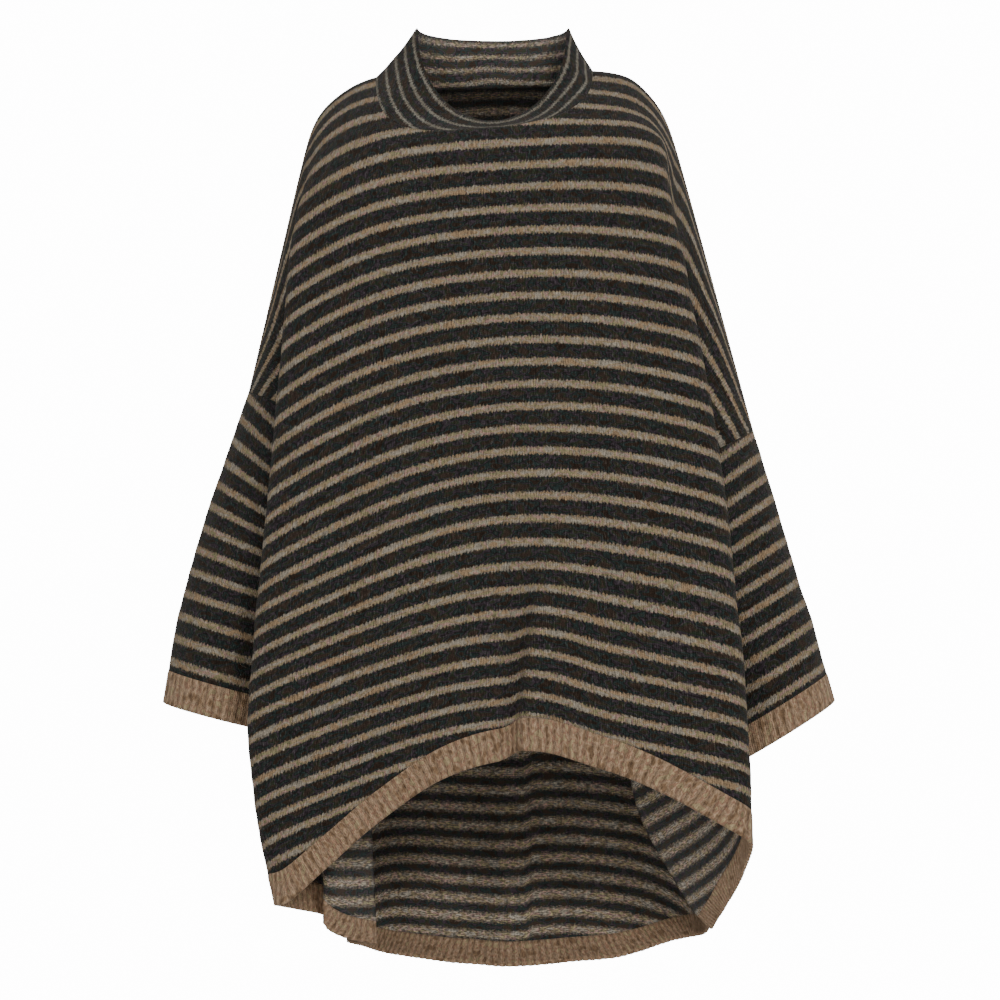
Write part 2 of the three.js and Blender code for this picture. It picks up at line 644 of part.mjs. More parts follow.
function addQuad(list, a, b, c, d) {
  const shortWay = a.distanceTo(c) <= b.distanceTo(d);
  if (shortWay) list.push(a, b, c, a, c, d);
  else list.push(a, b, d, b, c, d);
}

function meshOf(name, triangles, color) {
  const positions = [];
  for (const p of triangles) positions.push(p.x, p.y, p.z);
  const geometry = new THREE.BufferGeometry();
  geometry.setAttribute("position", new THREE.Float32BufferAttribute(positions, 3));
  geometry.computeVertexNormals();
  const material = new THREE.MeshStandardMaterial({ color, roughness: 0.95, metalness: 0 });
  const mesh = new THREE.Mesh(geometry, material);
  mesh.name = name;
  return mesh;
}

// Grids are lists of rows, from the top down, and closed says that each row runs all round
function wallMesh(name, outer, inner, closed, color) {
  const triangles = [];
  const rows = outer.length;
  const columns = outer[0].length;
  const lastColumn = closed ? columns : columns - 1;
  for (let r = 0; r + 1 < rows; r += 1) {
    for (let c = 0; c < lastColumn; c += 1) {
      const n = (c + 1) % columns;
      addQuad(triangles, outer[r][c], outer[r + 1][c], outer[r + 1][n], outer[r][n]);
      addQuad(triangles, inner[r][n], inner[r + 1][n], inner[r + 1][c], inner[r][c]);
    }
  }
  for (let c = 0; c < lastColumn; c += 1) {
    const n = (c + 1) % columns;
    addQuad(triangles, inner[0][c], outer[0][c], outer[0][n], inner[0][n]);
    addQuad(triangles, outer[rows - 1][c], inner[rows - 1][c], inner[rows - 1][n], outer[rows - 1][n]);
  }
  if (!closed) {
    const e = columns - 1;
    for (let r = 0; r + 1 < rows; r += 1) {
      addQuad(triangles, inner[r][0], inner[r + 1][0], outer[r + 1][0], outer[r][0]);
      addQuad(triangles, outer[r][e], outer[r + 1][e], inner[r + 1][e], inner[r][e]);
    }
  }
  return meshOf(name, triangles, color);
}

// Columns across a panel: closer together where the cloth folds

const frontSpans = [
  { to: 1, steps: 4 },
  { to: 2, steps: 4 },
  { to: 3, steps: 3 },
  { to: 4, steps: 3 },
  { to: 5, steps: 5 },
  { to: neckRightStation, steps: 2 },
  { to: 6.1, steps: 3 },
  { to: 6.8, steps: 3 },
  { to: 7.4, steps: 7 },
  { to: neckLeftStation, steps: 3 },
  { to: 9, steps: 4 },
  { to: 10, steps: 7 },
  { to: 11, steps: 3 },
  { to: 12, steps: 2 },
  { to: 13, steps: 2 },
  { to: 14, steps: 2 },
];
const backSpans = [
  { to: 1, steps: 2 },
  { to: 3, steps: 4 },
  { to: 4, steps: 3 },
  { to: 5, steps: 4 },
  { to: neckRightStation, steps: 2 },
  { to: 6.1, steps: 3 },
  { to: 7.5, steps: 6 },
  { to: neckLeftStation, steps: 3 },
  { to: 9, steps: 3 },
  { to: 10, steps: 4 },
  { to: 11, steps: 3 },
  { to: 13, steps: 4 },
  { to: 14, steps: 2 },
];

function panelColumns(backward) {
  const stations = [0];
  let from = 0;
  for (const span of backward ? backSpans : frontSpans) {
    for (let k = 1; k <= span.steps; k += 1) stations.push(from + ((span.to - from) * k) / span.steps);
    from = span.to;
  }
  return stations;
}

const half = clothThickness / 2;
const halfGap = seamGap / 2;

function rowCourse(top, bottom, row) {
  if (row <= rowsBesideArm) return top + ((armholeDepth - top) * row) / rowsBesideArm;
  const start = armholeDepth + underarmRow;
  return start + ((bottom - start) * (row - rowsBesideArm - 1)) / (rowsBelowArm - 1);
}

function panelGrids(backward) {
  const surface = backward ? backPoint : frontPoint;
  const turnOut = backward ? 1 : -1;
  const outer = [];
  const inner = [];
  const stations = panelColumns(backward);
  for (let r = 0; r <= panelRows; r += 1) {
    const outerRow = [];
    const innerRow = [];
    for (const station of stations) {
      const top = neckCourse(backward, station);
      const bottom = hemCourse(backward, station) - bandHeight;
      const course = rowCourse(top, bottom, r);
      const place = panelPlace(backward, surface, station, course, r, turnOut);
      outerRow.push(moved(place.point, place.normal, half));
      innerRow.push(moved(place.point, place.normal, -half));
    }
    outer.push(outerRow);
    inner.push(innerRow);
  }
  return { outer, inner };
}

// The direction down the cloth that is square to the seam between a panel and its band
function bandSeamDown(backward, surface, station, normal) {
  const at = (s) => surface(s, hemCourse(backward, s) - bandHeight);
  const ahead = at(Math.min(station + stationStep, lastStation));
  const behind = at(Math.max(station - stationStep, 0));
  const down = ahead.sub(behind).cross(normal).normalize();
  if (down.z > 0) down.negate();
  return down;
}

// A grid point and its normal, drawn back from each seam by half the gap
function panelPlace(backward, surface, station, course, row, turnOut) {
  const nearStation = Math.min(Math.max(station, seamInset), lastStation - seamInset);
  const nearCourse = Math.max(course, firstCourse);
  let normal = normalOf(surface, nearStation, nearCourse, stationStep, courseStep).multiplyScalar(turnOut);
  const point = surface(station, course);
  const side = station <= 0 ? rightSide : leftSide;
  const onEdge = station <= 0 || station >= lastStation;
  const facing = backward ? 1 : -1;
  if (onEdge && course <= armholeDepth) {
    const frame = armholeFrame(side, course / armholeDepth, backward);
    normal = frame.normal;
    point.addScaledVector(frame.along, frame.along.z > 0 ? halfGap : -halfGap);
    if (course > armholeDepth - courseStep) {
      normal = vector(0, 0, -1);
      point.addScaledVector(frame.along, frame.along.z > 0 ? underarmLift : -underarmLift);
      point.y += facing * halfGap;
    }
  }
  if (onEdge && course > armholeDepth) {
    const frame = sideSeamFrame(side, course);
    normal = frame.normal;
    point.addScaledVector(frame.across, frame.across.y * facing > 0 ? halfGap : -halfGap);
  }
  const onNeck = station >= neckRightStation && station <= neckLeftStation;
  const onShoulder = station <= neckRightStation || station >= neckLeftStation;
  if (row === 0 && onShoulder) {
    normal.y = 0;
    normal.normalize();
    point.y += facing * halfGap;
  }
  if (row === 0 && onNeck) {
    const frame = neckFrame(backward, station);
    normal = frame.normal;
    point.addScaledVector(frame.away, halfGap);
  }
  if (row === panelRows || row === bandTopRow) {
    const down = bandSeamDown(backward, surface, station, normal);
    const ease = backward ? 0 : foldEase * (1 - ramp(easeStart, easeEnd, station));
    point.addScaledVector(down, row === bandTopRow ? halfGap + ease : -halfGap);
  }
  return { point, normal };
}

function makeBodyPanel(name, backward, color) {
  const grids = panelGrids(backward);
  if (backward) {
    grids.outer.forEach((row) => row.reverse());
    grids.inner.forEach((row) => row.reverse());
  }
  return wallMesh(name, grids.outer, grids.inner, false, color);
}

// The sleeve and its cuff are one tapering tube: angle 0 is the overarm and a quarter turn the front

function sleevePoint(side, along, angle) {
  const read = (column) => smoothColumn(side.sleeve, "along", column, along);
  const middleX = (read("outer") + read("inner")) / 2;
  const middleZ = (read("outerZ") + read("innerZ")) / 2;
  const across = middleX + ((read("outer") - read("inner")) / 2) * Math.cos(angle);
  const z = middleZ + ((read("outerZ") - read("innerZ")) / 2) * Math.cos(angle);
  const point = vector(side.sign * across, read("y") - read("depth") * Math.sin(angle), z);
  const centre = vector(side.sign * middleX, read("y"), middleZ);
  return point.lerp(centre, sleeveDent(along, angle));
}

function sleeveDent(along, angle) {
  let dent = 0;
  for (const fold of sleeveFolds) {
    const away = angle - fold.angle - fold.twist * along;
    const turn = Math.atan2(Math.sin(away), Math.cos(away));
    const start = ramp(fold.top - dentGrow.before, fold.top + dentGrow.after, along);
    const end = ramp(fold.bottom - dentGrow.early, fold.bottom + dentGrow.late, along);
    dent += fold.share * start * (1 - end) * Math.exp(-((turn / fold.width) ** 2));
  }
  return dent * ramp(0, dentFade.armhole, along) * (1 - ramp(dentFade.cuffStart, dentFade.cuffEnd, along));
}

function sleeveFrame(side, along, angle) {
  const outer = sleevePoint(side, along, 0);
  const inner = sleevePoint(side, along, Math.PI);
  const down = outer.sub(inner).cross(vector(0, side.sign, 0)).normalize();
  if (down.z > 0) down.negate();
  const tangent = sleevePoint(side, along, angle + angleStep).sub(sleevePoint(side, along, angle - angleStep));
  const normal = tangent.cross(down).normalize();
  if (side.sign < 0) normal.negate();
  return { normal, down };
}

function sleeveGrids(side, from, to, rows, columns, raise) {
  const outer = [];
  const inner = [];
  for (let r = 0; r <= rows; r += 1) {
    const along = from + ((to - from) * r) / rows;
    const outerRow = [];
    const innerRow = [];
    for (let c = 0; c < columns; c += 1) {
      const angle = (-side.sign * 2 * Math.PI * c) / columns;
      const frame = sleeveFrame(side, along, angle);
      const point = sleevePoint(side, along, angle);
      if (r === 0) point.addScaledVector(frame.down, halfGap);
      if (r === rows && to < 1) point.addScaledVector(frame.down, -halfGap);
      outerRow.push(moved(point, frame.normal, half + raise(c)));
      innerRow.push(moved(point, frame.normal, -half));
    }
    outer.push(outerRow);
    inner.push(innerRow);
  }
  return { outer, inner };
}

const plain = () => 0;
const ribbed = (column) => (column % 2 === 1 ? ribHeight : 0);

function makeSleeve(name, side) {
  const grids = sleeveGrids(side, 0, 1 - cuffShare, sleeveRows, sleeveColumns, plain);
  return wallMesh(name, grids.outer, grids.inner, true, charcoal);
}

function makeCuff(name, side) {
  const grids = sleeveGrids(side, 1 - cuffShare, 1, 1, 2 * cuffRibs, ribbed);
  return wallMesh(name, grids.outer, grids.inner, true, camel);
}

// The collar: a funnel from the neckline up to its tilted rim

function neckStations(backward) {
  return panelColumns(backward).filter((s) => s >= neckRightStation && s <= neckLeftStation);
}

function makeCollar() {
  const ahead = neckStations(false).map((station) => neckFrame(false, station));
  const behind = neckStations(true).slice(1, -1).reverse().map((station) => neckFrame(true, station));
  const ring = ahead.concat(behind);
  const count = ring.length;
  const centreLine = (k, share) => {
    const frame = ring[(k + count) % count];
    const base = moved(frame.base, frame.away, -halfGap);
    const point = base.clone().lerp(rimPoint(frame.base), share);
    return point.addScaledVector(frame.normal, -collarDip * Math.sin(Math.PI * share));
  };
  const outer = [];
  const inner = [];
  for (let r = 0; r <= collarRows; r += 1) {
    const share = 1 - r / collarRows;
    const outerRow = [];
    const innerRow = [];
    ring.forEach((frame, k) => {
      const point = centreLine(k, share);
      const aside = centreLine(k + 1, share).sub(centreLine(k - 1, share));
      const above = centreLine(k, Math.min(share + shareStep, 1));
      const up = above.sub(centreLine(k, Math.max(share - shareStep, 0)));
      const normal = share > 0 ? aside.cross(up).normalize() : frame.normal;
      outerRow.push(moved(point, normal, half));
      innerRow.push(moved(point, normal, -half));
    });
    outer.push(outerRow);
    inner.push(innerRow);
  }
  return wallMesh("collar", outer, inner, true, charcoal);
}

// The hem bands continue each panel, with ribs from the top edge to the bottom one

function ribStations(backward) {
  const surface = backward ? backPoint : frontPoint;
  const lengths = [0];
  const at = (k) => (lastStation * k) / ribSamples;
  const edge = (k) => surface(at(k), hemCourse(backward, at(k)) - bandHeight / 2);
  for (let k = 1; k <= ribSamples; k += 1) lengths.push(lengths[k - 1] + edge(k).distanceTo(edge(k - 1)));
  const whole = lengths[ribSamples];
  const columns = 2 * Math.round(whole / ribPitch);
  const stations = [0];
  let k = 0;
  for (let c = 1; c < columns; c += 1) {
    const target = (whole * c) / columns;
    while (lengths[k + 1] < target) k += 1;
    const share = (target - lengths[k]) / (lengths[k + 1] - lengths[k]);
    stations.push(at(k) + (at(k + 1) - at(k)) * share);
  }
  stations.push(lastStation);
  return stations;
}

// The band's top edge runs straight between the panel's columns, as the panel's own edge does
function bandTopPlace(backward, surface, station, turnOut) {
  const columns = panelColumns(backward);
  let i = 0;
  while (i + 2 < columns.length && columns[i + 1] < station) i += 1;
  const share = (station - columns[i]) / (columns[i + 1] - columns[i]);
  const placeAt = (at) =>
    panelPlace(backward, surface, at, hemCourse(backward, at) - bandHeight, bandTopRow, turnOut);
  const before = placeAt(columns[i]);
  const after = placeAt(columns[i + 1]);
  return { point: before.point.lerp(after.point, share), normal: before.normal.lerp(after.normal, share) };
}

function makeBand(name, backward) {
  const surface = backward ? backPoint : frontPoint;
  const turnOut = backward ? 1 : -1;
  const outer = [];
  const inner = [];
  const stations = ribStations(backward);
  for (const atBottom of [false, true]) {
    const outerRow = [];
    const innerRow = [];
    stations.forEach((station, c) => {
      const place = atBottom
        ? panelPlace(backward, surface, station, hemCourse(backward, station), bandBottomRow, turnOut)
        : bandTopPlace(backward, surface, station, turnOut);
      outerRow.push(moved(place.point, place.normal, half + ribbed(c)));
      innerRow.push(moved(place.point, place.normal, -half));
    });
    outer.push(outerRow);
    inner.push(innerRow);
  }
  if (backward) {
    outer.forEach((row) => row.reverse());
    inner.forEach((row) => row.reverse());
  }
  return wallMesh(name, outer, inner, false, camel);
}

const group = new THREE.Group();
group.name = "knitted_poncho_sweater";
group.add(makeBodyPanel("front", false, charcoal));
group.add(makeBodyPanel("back", true, charcoal));
group.add(makeSleeve("sleeve_left", leftSide));
group.add(makeSleeve("sleeve_right", rightSide));
group.add(makeCollar());
group.add(makeBand("hem_band_front", false));
group.add(makeBand("hem_band_back", true));
group.add(makeCuff("cuff_left", leftSide));
group.add(makeCuff("cuff_right", rightSide));

export default group;
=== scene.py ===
import math
import bpy
import numpy as np
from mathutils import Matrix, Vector


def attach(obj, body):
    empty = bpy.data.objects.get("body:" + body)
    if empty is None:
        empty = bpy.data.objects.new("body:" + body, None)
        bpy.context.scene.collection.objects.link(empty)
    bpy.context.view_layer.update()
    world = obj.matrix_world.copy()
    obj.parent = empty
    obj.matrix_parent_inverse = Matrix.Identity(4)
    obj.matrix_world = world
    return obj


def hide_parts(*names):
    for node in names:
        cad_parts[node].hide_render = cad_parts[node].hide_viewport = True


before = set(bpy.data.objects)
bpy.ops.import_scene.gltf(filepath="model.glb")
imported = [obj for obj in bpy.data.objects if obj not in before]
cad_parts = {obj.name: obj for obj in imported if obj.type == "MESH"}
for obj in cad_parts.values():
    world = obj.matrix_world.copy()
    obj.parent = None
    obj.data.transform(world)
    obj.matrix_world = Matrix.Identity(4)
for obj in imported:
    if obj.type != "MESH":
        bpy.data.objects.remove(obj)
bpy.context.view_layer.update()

print("frame loaded", sorted(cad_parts))

mm = 0.001  # tables are in millimetres, Blender in metres

cloth = {
    "thickness": 3.0,
    "armholeDepth": 205.0,
    "frontNeckDepth": 88.0,
    "backNeckDepth": 26.0,
    "bandHeight": 33.0,
    "cuffShare": 0.1,
    "longest": 1010,
}
mesh = {
    "spacing": 4.1,
    "rowsBesideArm": 50,
    "rowsBelowArm": 140,
    "bandRows": 12,
    "ribColumns": 6,
    "sleeveRows": 66,
    "sleeveColumns": 84,
    "cuffRows": 10,
    "cuffRibs": 47,
    "collarRows": 22,
}

# Stations count across a panel from the right seam to the left, courses are mm down the cloth

lastStation = 14.0
neckRight = 5.75
neckLeft = 7.87
neckCurve = {"inner": 2.4, "outer": 0.45}


def table(names, *rows):
    values = np.array(rows, float)
    return {name: values[:, k] for k, name in enumerate(names.split())}


# The middle of the front and of the back, down the cloth

frontCentre = table(
    "course y z",
    (0, 0, 8), (50, -68, -26), (95, -106, -62), (140, -116, -106), (205, -120, -168),
    (280, -122, -240), (390, -124, -345), (500, -126, -450), (610, -127, -555),
    (720, -124, -660), (830, -118, -765), (940, -110, -868), (1010, -104, -936),
)
backCentre = table(
    "course y z",
    (0, 0, 8), (50, 68, -12), (95, 100, -44), (140, 110, -86), (205, 116, -149),
    (280, 120, -222), (390, 126, -329), (500, 134, -436), (610, 142, -543),
    (720, 148, -648), (830, 140, -748), (940, 108, -846), (1010, 72, -906),
)

# Each side: how far out its folds stand, and how much lower than the centre a course hangs there

crestNames = "course middle face faceY faceDrop rear rearY rearDrop"
sideNames = "course wall wallY pocket pocketY fold foldY"
sleeveNames = "along outer outerZ inner innerZ depth y"

rightSide = {
    "sign": -1,
    "shoulder": (188, -46),
    "armholeTop": (250, -312),
    "armholeUnder": (150, -350),
    "front": table(
        crestNames,
        (0, -1, 160, 0, 22, 184, 0, 46), (50, 8, 166, -52, 28, 185, -46, 54),
        (95, 12, 193, -90, 58, 197, -73, 70), (140, 15, 206, -104, 66, 206, -80, 76),
        (205, 17, 213, -110, 72, 213, -84, 82), (280, 19, 220, -112, 78, 220, -86, 88),
        (390, 24, 230, -114, 86, 230, -88, 96), (500, 31, 241, -114, 88, 241, -88, 98),
        (610, 30, 247, -114, 80, 247, -88, 92), (720, 27, 236, -113, 74, 236, -88, 86),
        (830, 25, 215, -112, 70, 215, -86, 82), (1010, 25, 200, -108, 66, 200, -84, 78),
    ),
    "back": table(
        crestNames,
        (0, -1, 160, 0, 22, 184, 0, 46), (50, 8, 166, 52, 42, 185, 46, 68),
        (95, 10, 184, 84, 44, 192, 70, 62), (140, 12, 194, 96, 48, 198, 74, 60),
        (205, 14, 200, 102, 56, 202, 76, 66), (280, 16, 202, 106, 60, 203, 78, 70),
        (390, 18, 200, 110, 64, 202, 80, 74), (500, 18, 196, 112, 64, 198, 82, 76),
        (610, 18, 188, 114, 62, 192, 82, 76), (720, 16, 176, 114, 58, 180, 80, 74),
        (830, 12, 158, 98, 52, 163, 62, 70), (1010, 8, 138, 46, 40, 144, 14, 56),
    ),
    "seam": table(
        "course across y drop",
        (205, 150, 4, 182), (221, 143, 6, 180), (280, 142, 14, 175), (390, 146, 24, 161),
        (500, 142, 24, 148), (610, 134, 14, 136), (720, 128, 6, 125), (830, 124, 2, 116),
        (1010, 120, 0, 104),
    ),
    "frontSide": table(
        sideNames,
        (280, 164, -58, 152, -34, 147, -8), (390, 182, -50, 162, -24, 156, -12),
        (500, 198, -50, 165, -14, 168, -38), (610, 209, -48, 165, -10, 178, -66),
        (720, 209, -44, 162, -10, 184, -76), (830, 204, -42, 160, -14, 184, -78),
        (1010, 200, -40, 158, -14, 182, -78),
    ),
    "backSide": table(
        sideNames,
        (280, 166, 62, 152, 44, 148, 28), (390, 175, 63, 157, 50, 150, 36),
        (500, 175, 63, 157, 50, 147, 37), (610, 169, 62, 151, 46, 140, 30),
        (720, 160, 58, 144, 40, 134, 22), (830, 148, 46, 136, 30, 129, 16),
        (1010, 134, 12, 127, 8, 122, 4),
    ),
    "sleeve": table(
        sleeveNames,
        (0, 250, -312, 150, -350, 64, 4), (0.35, 287, -420, 172, -456, 60, 3),
        (0.68, 317, -520, 196, -556, 53, 1), (1, 335, -622, 217, -652, 46, -2),
    ),
}
leftSide = {
    "sign": 1,
    "shoulder": (168, -42),
    "armholeTop": (252, -351),
    "armholeUnder": (150, -402),
    "front": table(
        crestNames,
        (0, -2, 140, 0, 14, 163, 0, 40), (50, 2, 148, -54, 16, 166, -48, 42),
        (95, 0, 160, -92, 10, 163, -72, 24), (140, 0, 166, -106, 10, 166, -82, 22),
        (205, 1, 181, -110, 15, 181, -86, 25), (280, 2, 196, -112, 20, 196, -87, 30),
        (390, 4, 216, -114, 28, 216, -88, 38), (500, 8, 229, -114, 34, 229, -88, 44),
        (610, 13, 240, -114, 39, 240, -88, 50), (720, 15, 245, -113, 40, 245, -88, 52),
        (830, 16, 247, -112, 42, 247, -86, 54), (1010, 16, 247, -108, 44, 247, -84, 56),
    ),
    "back": table(
        crestNames,
        (0, -2, 140, 0, 14, 163, 0, 40), (50, 4, 148, 54, 30, 166, 48, 56),
        (95, 6, 166, 86, 34, 176, 70, 52), (140, 8, 182, 96, 38, 188, 74, 52),
        (205, 10, 194, 102, 44, 197, 76, 56), (280, 12, 200, 106, 48, 202, 78, 58),
        (390, 12, 200, 112, 50, 203, 81, 62), (500, 12, 202, 114, 50, 205, 83, 64),
        (610, 11, 205, 116, 48, 210, 84, 64), (720, 10, 205, 114, 44, 211, 82, 62),
        (830, 8, 196, 98, 38, 203, 70, 58), (1010, 6, 184, 50, 28, 190, 26, 46),
    ),
    "seam": table(
        "course across y drop",
        (205, 150, 4, 234), (221, 143, 6, 231), (280, 140, 14, 222), (390, 136, 22, 205),
        (500, 128, 26, 190), (610, 139, 22, 174), (720, 181, 26, 150), (830, 222, 38, 116),
        (1010, 250, 50, 90),
    ),
    "frontSide": table(
        sideNames,
        (280, 162, -58, 150, -34, 145, -8), (390, 182, -52, 162, -30, 148, -6),
        (500, 203, -57, 176, -36, 150, -8), (610, 222, -58, 196, -36, 166, -8),
        (720, 234, -58, 217, -30, 199, -2), (830, 243, -58, 237, -28, 230, 6),
        (1010, 248, -56, 250, -26, 251, 12),
    ),
    "backSide": table(
        sideNames,
        (280, 166, 62, 151, 44, 146, 28), (390, 174, 64, 154, 50, 142, 36),
        (500, 177, 65, 154, 51, 138, 38), (610, 182, 66, 162, 52, 148, 37),
        (720, 202, 66, 193, 53, 187, 40), (830, 205, 60, 208, 52, 211, 45),
        (1010, 204, 34, 214, 40, 230, 46),
    ),
    "sleeve": table(
        sleeveNames,
        (0, 252, -351, 150, -402, 64, 4), (0.35, 280, -444, 172, -502, 60, 3),
        (0.68, 308, -534, 196, -600, 53, 1), (1, 333, -621, 216, -692, 46, -2),
    ),
}
armStart = table("course share", (0, 0.1), (50, 0.15), (95, 0.3), (140, 0.55), (205, 0.78))

frontHem = table(
    "station course",
    (0, 820), (0.5, 811), (1, 799), (1.5, 791), (3, 789), (4, 796), (4.5, 802), (5, 806), (5.5, 791),
    (6, 764), (6.5, 738), (7, 726), (7.5, 724), (8, 731), (9, 764), (10, 768), (11, 767), (12, 773),
    (13, 788), (14, 800),
)
backHem = table(
    "station course",
    (0, 820), (1, 834), (2, 847), (3, 868), (4, 897), (5, 930), (6, 977), (7, 1001), (8, 984),
    (9, 937), (10, 904), (11, 868), (12, 839), (13, 817), (14, 800),
)

# The hem of the back rolls forward and up, and so does the front's beside each side seam
hemRoll = {"reach": 55.0, "forward": 16.0, "lift": 10.0, "seamOnly": 0.6, "gone": 2.2, "most": 1.2}

# Soft folds and creases: where they start and end, their width and depth in mm

foldNames = "top bottom topX bottomX width depth"
frontFolds = table(
    foldNames,
    (500, 760, 30, 10, 15, 15), (150, 520, -90, -70, 34, 4),
    (220, 620, 95, 130, 30, -5), (420, 790, -150, -130, 30, 5),
)
backFolds = table(
    foldNames,
    (560, 1000, 20, 8, 26, 12), (240, 900, -110, -80, 34, 9),
    (200, 880, 96, 110, 36, 10), (120, 620, -10, -30, 40, 7),
)
frontCreases = table(
    foldNames,
    (90, 330, -196, -120, 14, 2.4), (130, 420, -204, -168, 12, -2.0),
    (95, 260, 150, 96, 16, 2.2), (120, 400, 160, 186, 12, -1.6),
    (300, 520, 20, 44, 30, -2.6), (330, 640, -40, -20, 22, 2.0),
    (520, 780, 62, 70, 18, -3.0), (560, 790, 150, 176, 20, 2.6),
    (480, 800, -206, -200, 16, -1.8), (600, 800, -90, -84, 20, 2.0),
)
backCreases = table(
    foldNames,
    (60, 300, -150, -90, 18, 2.6), (60, 320, 150, 96, 18, 2.4),
    (380, 820, -40, -20, 18, -2.4), (420, 860, 60, 74, 16, -2.4),
    (500, 900, -150, -130, 18, 2.2), (640, 1000, 150, 150, 20, 2.4),
    (700, 1000, -56, -50, 14, 2.2), (720, 1000, 58, 44, 14, 2.0),
)
middleFold = {"start": 500, "length": 260, "topX": 30, "shift": 20, "growth": 150, "height": 8,
              "edge": 16, "reach": 90, "roll": 5.0, "lean": 5.0, "rollWidth": 11.0, "rollPlace": 15.0}
foldEnds = {"before": 40, "after": 120, "openBelow": 700}  # a fold grows and fades over these
creaseStart = (30, 110)
faceStations = (4, 5.2, 8.8, 10)
wideStations = (2.6, 4, 10, 11.4)
sleeveDents = table(
    "angle twist top bottom width share",
    (0.9, 0.5, 0.1, 0.8, 0.35, 0.07), (2.3, -0.4, 0.2, 1, 0.3, 0.06),
    (4.6, 0.6, 0.1, 0.9, 0.4, 0.08),
)
rim = {"middleX": -7.5, "halfWidth": 75.5, "frontDepth": 52, "backDepth": 62, "cornerZ": 51,
       "frontFall": 98, "backFall": 6, "swell": -2}


# Smooth tables and vectors

def smoothColumn(rows, by, name, at):
    x, y = rows[by], rows[name]
    slope = np.empty_like(y)
    slope[1:-1] = (y[2:] - y[:-2]) / (x[2:] - x[:-2])
    slope[0] = (y[1] - y[0]) / (x[1] - x[0])
    slope[-1] = (y[-1] - y[-2]) / (x[-1] - x[-2])
    at = np.clip(at, x[0], x[-1])
    i = np.clip(np.searchsorted(x, at) - 1, 0, len(x) - 2)
    span = x[i + 1] - x[i]
    t = (at - x[i]) / span
    value = (1 + 2 * t) * (1 - t) ** 2 * y[i] + t * t * (3 - 2 * t) * y[i + 1]
    return value + span * (t * (1 - t) ** 2 * slope[i] + t * t * (t - 1) * slope[i + 1])


def ramp(low, high, at):
    t = np.clip((np.asarray(at, float) - low) / (high - low), 0, 1)
    return t * t * (3 - 2 * t)


def vec(x, y, z):
    return np.stack(np.broadcast_arrays(x, y, z), axis=-1).astype(float)


def unit(v):
    return v / np.maximum(np.linalg.norm(v, axis=-1, keepdims=True), 1e-9)


def softNoise(u, v, cell, seed):
    lattice = np.random.default_rng(seed).random((97, 89)) * 2 - 1  # wraps far outside the piece
    a, b = np.asarray(u) / cell, np.asarray(v) / cell
    i, j = np.floor(a).astype(int), np.floor(b).astype(int)
    s, t = a - i, b - j
    s, t = s * s * (3 - 2 * s), t * t * (3 - 2 * t)
    at = lambda p, q: lattice[p % 97, q % 89]
    low = at(i, j) * (1 - s) + at(i + 1, j) * s
    high = at(i, j + 1) * (1 - s) + at(i + 1, j + 1) * s
    return low * (1 - t) + high * t


# The armhole, the upper arm and the body's seams

def armholePoint(side, turn, backward):
    top, under, sleeve = side["armholeTop"], side["armholeUnder"], side["sleeve"]
    c, s = np.cos(np.pi * turn), np.sin(np.pi * turn)
    across = (top[0] + under[0]) / 2 + (top[0] - under[0]) / 2 * c
    z = (top[1] + under[1]) / 2 + (top[1] - under[1]) / 2 * c
    y = sleeve["y"][0] + (1 if backward else -1) * sleeve["depth"][0] * s
    return vec(side["sign"] * across, y, z)


armRing = {"shallower": 14, "halfWidth": 32, "halfHeight": 20}  # at the shoulder, smaller than the armhole


def upperArmPoint(side, share, turn, backward):
    reach = np.cos(np.pi * turn) - 1
    depth = side["sleeve"]["depth"][0] - armRing["shallower"]
    start = vec(
        side["sign"] * (side["shoulder"][0] + armRing["halfWidth"] * reach),
        (1 if backward else -1) * depth * np.sin(np.pi * turn),
        side["shoulder"][1] + armRing["halfHeight"] * reach,
    )
    share = np.asarray(share)[..., None]
    return start * (1 - share) + armholePoint(side, turn, backward) * share


def centreRow(backward, course):
    rows = backCentre if backward else frontCentre
    return smoothColumn(rows, "course", "y", course), smoothColumn(rows, "course", "z", course)


def seamPoint(side, course):
    course = np.asarray(course, float)
    onArm = armholePoint(side, np.clip(course / cloth["armholeDepth"], 0, 1), False)
    read = lambda name: smoothColumn(side["seam"], "course", name, course)
    below = vec(side["sign"] * read("across"), read("y"), centreRow(False, course)[1] - read("drop"))
    return np.where((course <= cloth["armholeDepth"])[..., None], onArm, below)


chest = {"across": 118, "curve": 0.2}  # a column between the centre and each side fold
sideColumns = {  # three more between the side fold and the seam
    "names": ("wall", "pocket", "fold"),
    "heights": (0.45, 0.68, 0.85),
    "armCourses": (0, 50, 95, 140, 175, 205),
    "lag": 0.3,
}


def armColumn(side, backward, outward):
    courses = np.array(sideColumns["armCourses"], float)
    start = smoothColumn(armStart, "course", "share", courses)
    turn = courses / cloth["armholeDepth"] * (1 - sideColumns["lag"] * (1 - outward))
    return courses, upperArmPoint(side, start + (1 - start) * outward, turn, backward)


def sideStations(side, backward):
    rows = side["backSide" if backward else "frontSide"]
    crest = side["back" if backward else "front"]
    low = rows["course"]
    top = centreRow(backward, low)[1] - smoothColumn(crest, "course", "rearDrop", low)
    end = seamPoint(side, low)[..., 2]
    found = []
    for order, (name, height) in enumerate(zip(sideColumns["names"], sideColumns["heights"])):
        courses, arm = armColumn(side, backward, order / 3)
        below = vec(side["sign"] * rows[name], rows[name + "Y"], top + (end - top) * height)
        points = np.concatenate([arm, below])
        found.append({"course": np.concatenate([courses, low]),
                      "x": points[:, 0], "y": points[:, 1], "z": points[:, 2]})
    return found


